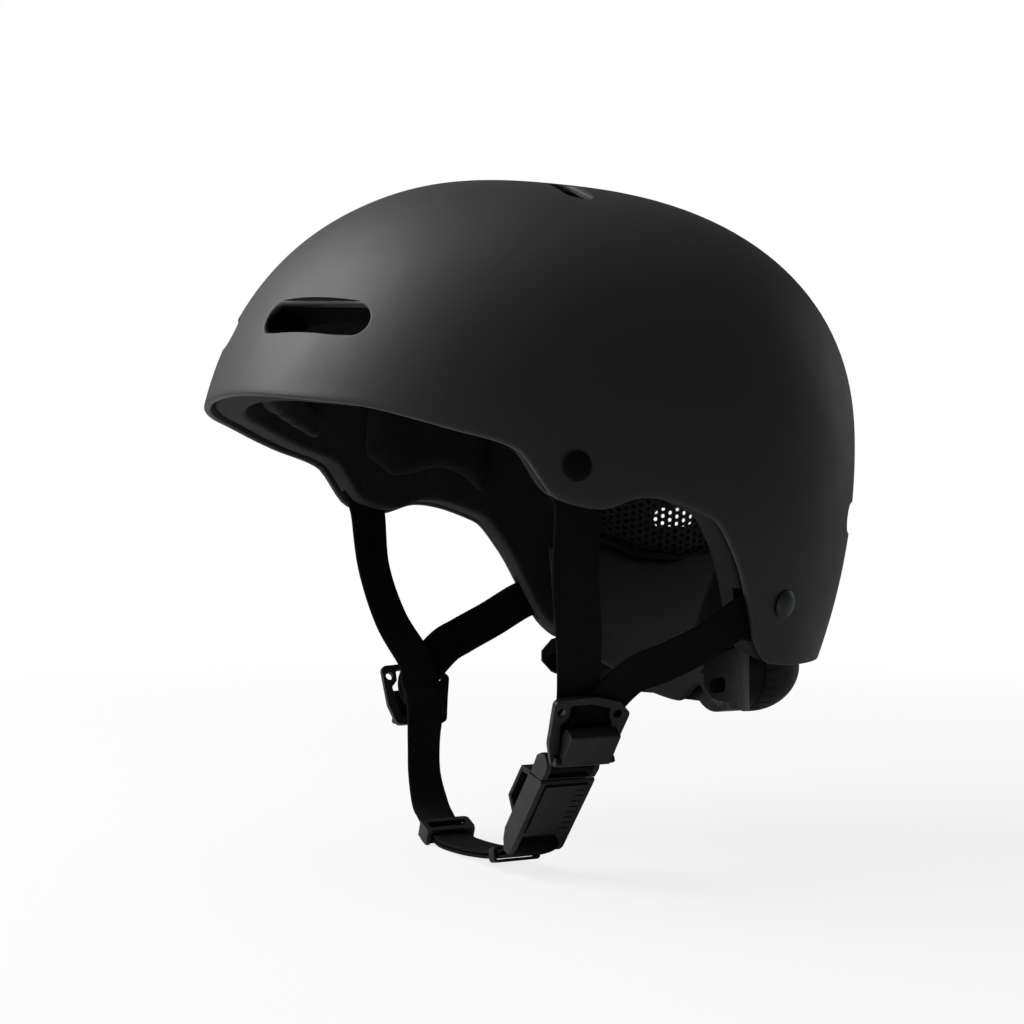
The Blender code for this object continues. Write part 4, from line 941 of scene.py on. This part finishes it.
def chin_arc(turn, lift=0.0):
    """A point of the chin strap on its right-hand bend, at degrees from straight down."""
    out = Vector((-sin(radians(turn)), 0, -cos(radians(turn))))
    return Vector((CHIN_X, HARNESS_Y, CHIN_Z)) + out * (CHIN_BEND - lift), out


def chin_run(lift=0.0):
    """The points and outward faces of the chin strap on its run towards the buckle."""
    out = Vector((0.07, 0, -1)).normalized()
    return [(Vector((x, HARNESS_Y, z)) - out * lift, out) for x, z in CHIN_RUN]


def keeper_layer(lift=0.0):
    """The points of one layer of the loop inside the keeper, and their outward faces."""
    slope = radians(KEEPER_SLOPE)
    out = Vector((sin(slope), 0, -cos(slope)))
    along = Vector((cos(slope), 0, sin(slope)))
    middle = Vector((KEEPER_X, HARNESS_Y, KEEPER_Z))
    return [(middle + along * step - out * lift, out) for step in (-0.0045, 0.0035)]


def make_chin_strap():
    """One strap from the right divider, under the chin, round the buckle's bar and back."""
    tops, outwards = behind_divider(RIGHT, [(0, 0.001, CHIN_STRAP_Z), (0, -0.010, CHIN_STRAP_Z)])
    way = list(zip(tops, outwards)) + CHIN_DROP
    way += [chin_arc(turn) for turn in CHIN_TURNS] + chin_run()
    way += keeper_layer() + [(CHIN_RISE, CHIN_RISE_FACE)]
    way += round_bar(LOWER_BAR_Y, LOWER_BAR_Z, LOWER_BAR_TURNS)
    back = keeper_layer(LAYER)[::-1] + chin_run(LAYER)[::-1]
    back += [chin_arc(turn, LAYER) for turn in CHIN_TAIL_TURNS]
    way += [(point, -out) for point, out in back]
    strap = webbing("chin_webbing", [p for p, _ in way], [f for _, f in way])
    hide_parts("chin_strap", "chin_strap_tail", "chin_strap_loop")
    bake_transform(strap)


# ---------------------------------------------------------------- hard parts


def dressed(node, material, rounding=0.0):
    """A CAD node's own shape, with rounded edges and a worked material."""
    obj = piece(node + "_part", cad_mesh(node), material)
    if rounding:
        settle(soften(obj, rounding, 2, 34))
    polish(obj)
    obj.modifiers.new("flat_faces_stay_flat", "WEIGHTED_NORMAL").keep_sharp = True
    settle(obj)
    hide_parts(node)
    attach(obj, frame["nodes"][node]["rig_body"])


def make_knob():
    """The dial's knob: ribbed round its side, with a smooth domed back."""
    rise = KNOB_DEPTH - KNOB_RIM
    profile = [(KNOB_RADIUS - 0.0030, 0.0), (KNOB_RADIUS - 0.0012, 0.0004),
               (KNOB_RADIUS - 0.0004, 0.0012)]
    profile += [(KNOB_RADIUS, z) for z in span(0.0020, KNOB_RIM, 3)]
    profile += [(KNOB_RADIUS * cos(radians(turn)), KNOB_RIM + rise * sin(radians(turn)))
                for turn in span(5, 88, KNOB_STEPS)]
    steps = KNOB_RIBS * 8
    points = []
    for radius, height in profile:
        grip = min(1.0, max(0.0, (0.0080 - height) / 0.0030)) * min(1.0, height / 0.002)
        for k in range(steps):
            turn = 2 * pi * k / steps
            groove = max(0.0, cos(turn * KNOB_RIBS)) ** 2 * KNOB_GROOVE * grip
            points.append(((radius - groove) * cos(turn), (radius - groove) * sin(turn), height))
    faces = grid_faces(len(profile), steps, wrap_columns=True)
    faces.append(tuple(range(steps))[::-1])
    faces.append(tuple(range((len(profile) - 1) * steps, len(profile) * steps)))
    mesh = mesh_from("knob", points, faces)
    mesh.transform(frame_at((0, DIAL_SEAM, DIAL_Z), (-1, 0, 0), (0, 0, 1)))
    knob = polish(piece("ribbed_knob", mesh, RUBBER), 45)
    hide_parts("dial_knob")
    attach(knob, "dial")


def make_arm_mouths():
    """A dark sheet of painted shade behind the oval mouth near the end of each of the cradle's
    arms.
    """
    turn = radians(ARM_MOUTH_TURN)
    for side, name in SIDES:
        mesh = prism(stadium(ARM_SHADE_LENGTH, ARM_SHADE_WIDTH), -0.0005, -0.0001)
        mesh.transform(frame_at(nape_point(side * ARM_MOUTH_TURN, ARM_INNER, ARM_MOUTH_Z),
                                (side * cos(turn), -sin(turn), 0), (0, 0, 1)))
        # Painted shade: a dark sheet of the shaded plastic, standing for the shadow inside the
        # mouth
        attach(piece(f"{name}_arm_mouth_shade", mesh, SHADE_PLASTIC), "helmet")


def make_hard_parts():
    for _, name in SIDES:
        dressed(f"{name}_strap_divider", PLASTIC, 0.0006)
        dressed(f"{name}_divider_lever", PLASTIC, 0.0004)
        dressed(f"{name}_lever_pin", DARK_STEEL)
        # Painted shade: the cradle band gets the darker copy of the plastic
        dressed(f"{name}_cradle_band", HALF_SHADED_PLASTIC, 0.0003)
        for end, metal in (("front", FLAT_RIVET), ("rear", RIVET)):
            dressed(f"{name}_{end}_rivet", metal)
            dressed(f"{name}_{end}_washer", STEEL)
    dressed("buckle_upper_half", PLASTIC, 0.0005)
    dressed("buckle_lower_body", PLASTIC, 0.0006)
    dressed("buckle_front_panel", PLASTIC, 0.0002)
    dressed("buckle_finger_loop", RUBBER, 0.0006)
    dressed("strap_slider", PLASTIC, 0.0004)
    dressed("strap_keeper", RUBBER, 0.0004)
    # Painted shade: the dial's housing and cover get the darker copy of the plastic
    dressed("dial_housing", HALF_SHADED_PLASTIC, 0.0006)
    dressed("dial_cover", HALF_SHADED_PLASTIC, 0.0003)
    for node in ("upper_magnet", "lower_magnet", "housing_screw_1", "housing_screw_2",
                 "click_spring", "dial_pinion"):
        dressed(node, STEEL)
    make_arm_mouths()
    make_knob()


# ---------------------------------------------------------------- studio


def way_to(azimuth, elevation):
    """The direction at degrees from the front towards the wearer's left, and above the level."""
    azimuth, elevation = radians(azimuth), radians(elevation)
    return Vector((sin(azimuth) * cos(elevation), -cos(azimuth) * cos(elevation), sin(elevation)))


def make_camera():
    way = way_to(CAMERA_AZIMUTH, CAMERA_ELEVATION)
    camera = bpy.data.objects.new("camera", bpy.data.cameras.new("camera"))
    camera.data.lens = CAMERA_LENS
    camera.location = CAMERA_TARGET + way * CAMERA_DISTANCE
    camera.rotation_euler = (-way).to_track_quat("-Z", "Y").to_euler()
    bpy.context.scene.collection.objects.link(camera)
    bpy.context.scene.camera = camera


def make_light(name, azimuth, elevation, distance, size, watts):
    way = way_to(azimuth, elevation)
    lamp = bpy.data.lights.new(name, "AREA")
    lamp.shape = "DISK"
    lamp.size = size
    lamp.energy = watts
    light = bpy.data.objects.new(name, lamp)
    light.location = STUDIO_CENTRE + way * distance
    light.rotation_euler = (-way).to_track_quat("-Z", "Y").to_euler()
    bpy.context.scene.collection.objects.link(light)


def paper_surface():
    """Pale paper that fades into the white backdrop, and is brighter to the eye than as a lamp."""
    made = Surface("pale_paper", (0.62, 0.62, 0.62), 0.9, Specular_IOR_Level=0.1)
    made.bump(made.noise(300, 2), 0.0001)
    glow = made.add("ShaderNodeEmission", {"Color": (1, 1, 1, 1), "Strength": 1.0}).outputs[0]
    away = made.add("ShaderNodeVectorMath", {0: made.place}, operation="LENGTH").outputs["Value"]
    fade = made.add("ShaderNodeMapRange", {"Value": away, "From Min": 0.2, "From Max": 1.2,
                                           "To Min": FLOOR_GLOW, "To Max": 1.0}).outputs[0]
    seen = made.add("ShaderNodeLightPath").outputs["Is Camera Ray"]
    share = made.maths("MULTIPLY", fade, seen)
    both = made.add("ShaderNodeMixShader", {0: share, 1: made.shader.outputs[0], 2: glow})
    made.tree.links.new(both.outputs[0], made.tree.nodes["Material Output"].inputs[0])
    return made.material


def make_floor():
    height = CAD_BOX[0][2] - 0.0005
    corners = [(x * FLOOR_SIZE, y * FLOOR_SIZE, height)
               for x, y in ((-1, -1), (1, -1), (1, 1), (-1, 1))]
    floor = bpy.data.objects.new("floor", mesh_from("floor", corners, [(0, 1, 2, 3)]))
    bpy.context.scene.collection.objects.link(floor)
    floor.data.materials.append(paper_surface())


def make_backdrop():
    """A world that is white to the camera, and a weaker light to everything else."""
    world = bpy.data.worlds.new("studio")
    bpy.context.scene.world = world
    world.use_nodes = True
    tree = world.node_tree
    path = tree.nodes.new("ShaderNodeLightPath")
    seen = tree.nodes.new("ShaderNodeBackground")
    seen.inputs[0].default_value = (1, 1, 1, 1)
    seen.inputs[1].default_value = 1.0
    fill = tree.nodes["Background"]
    fill.inputs[0].default_value = (1, 1, 1, 1)
    fill.inputs[1].default_value = FILL
    mix = tree.nodes.new("ShaderNodeMixShader")
    tree.links.new(path.outputs["Is Camera Ray"], mix.inputs[0])
    tree.links.new(fill.outputs[0], mix.inputs[1])
    tree.links.new(seen.outputs[0], mix.inputs[2])
    tree.links.new(mix.outputs[0], tree.nodes["World Output"].inputs[0])


def make_studio():
    make_floor()
    make_backdrop()
    for light in LIGHTS:
        make_light(*light)
    bpy.context.scene.view_settings.view_transform = "Standard"


make_camera()
make_shell()
make_liner()
for pad_node in ("crown_pad", "brow_pad", "left_side_pad", "right_side_pad"):
    foam_pad(pad_node)
make_mesh_pad()
make_nape_pad()
make_side_straps()
make_chin_strap()
make_hard_parts()
make_studio()
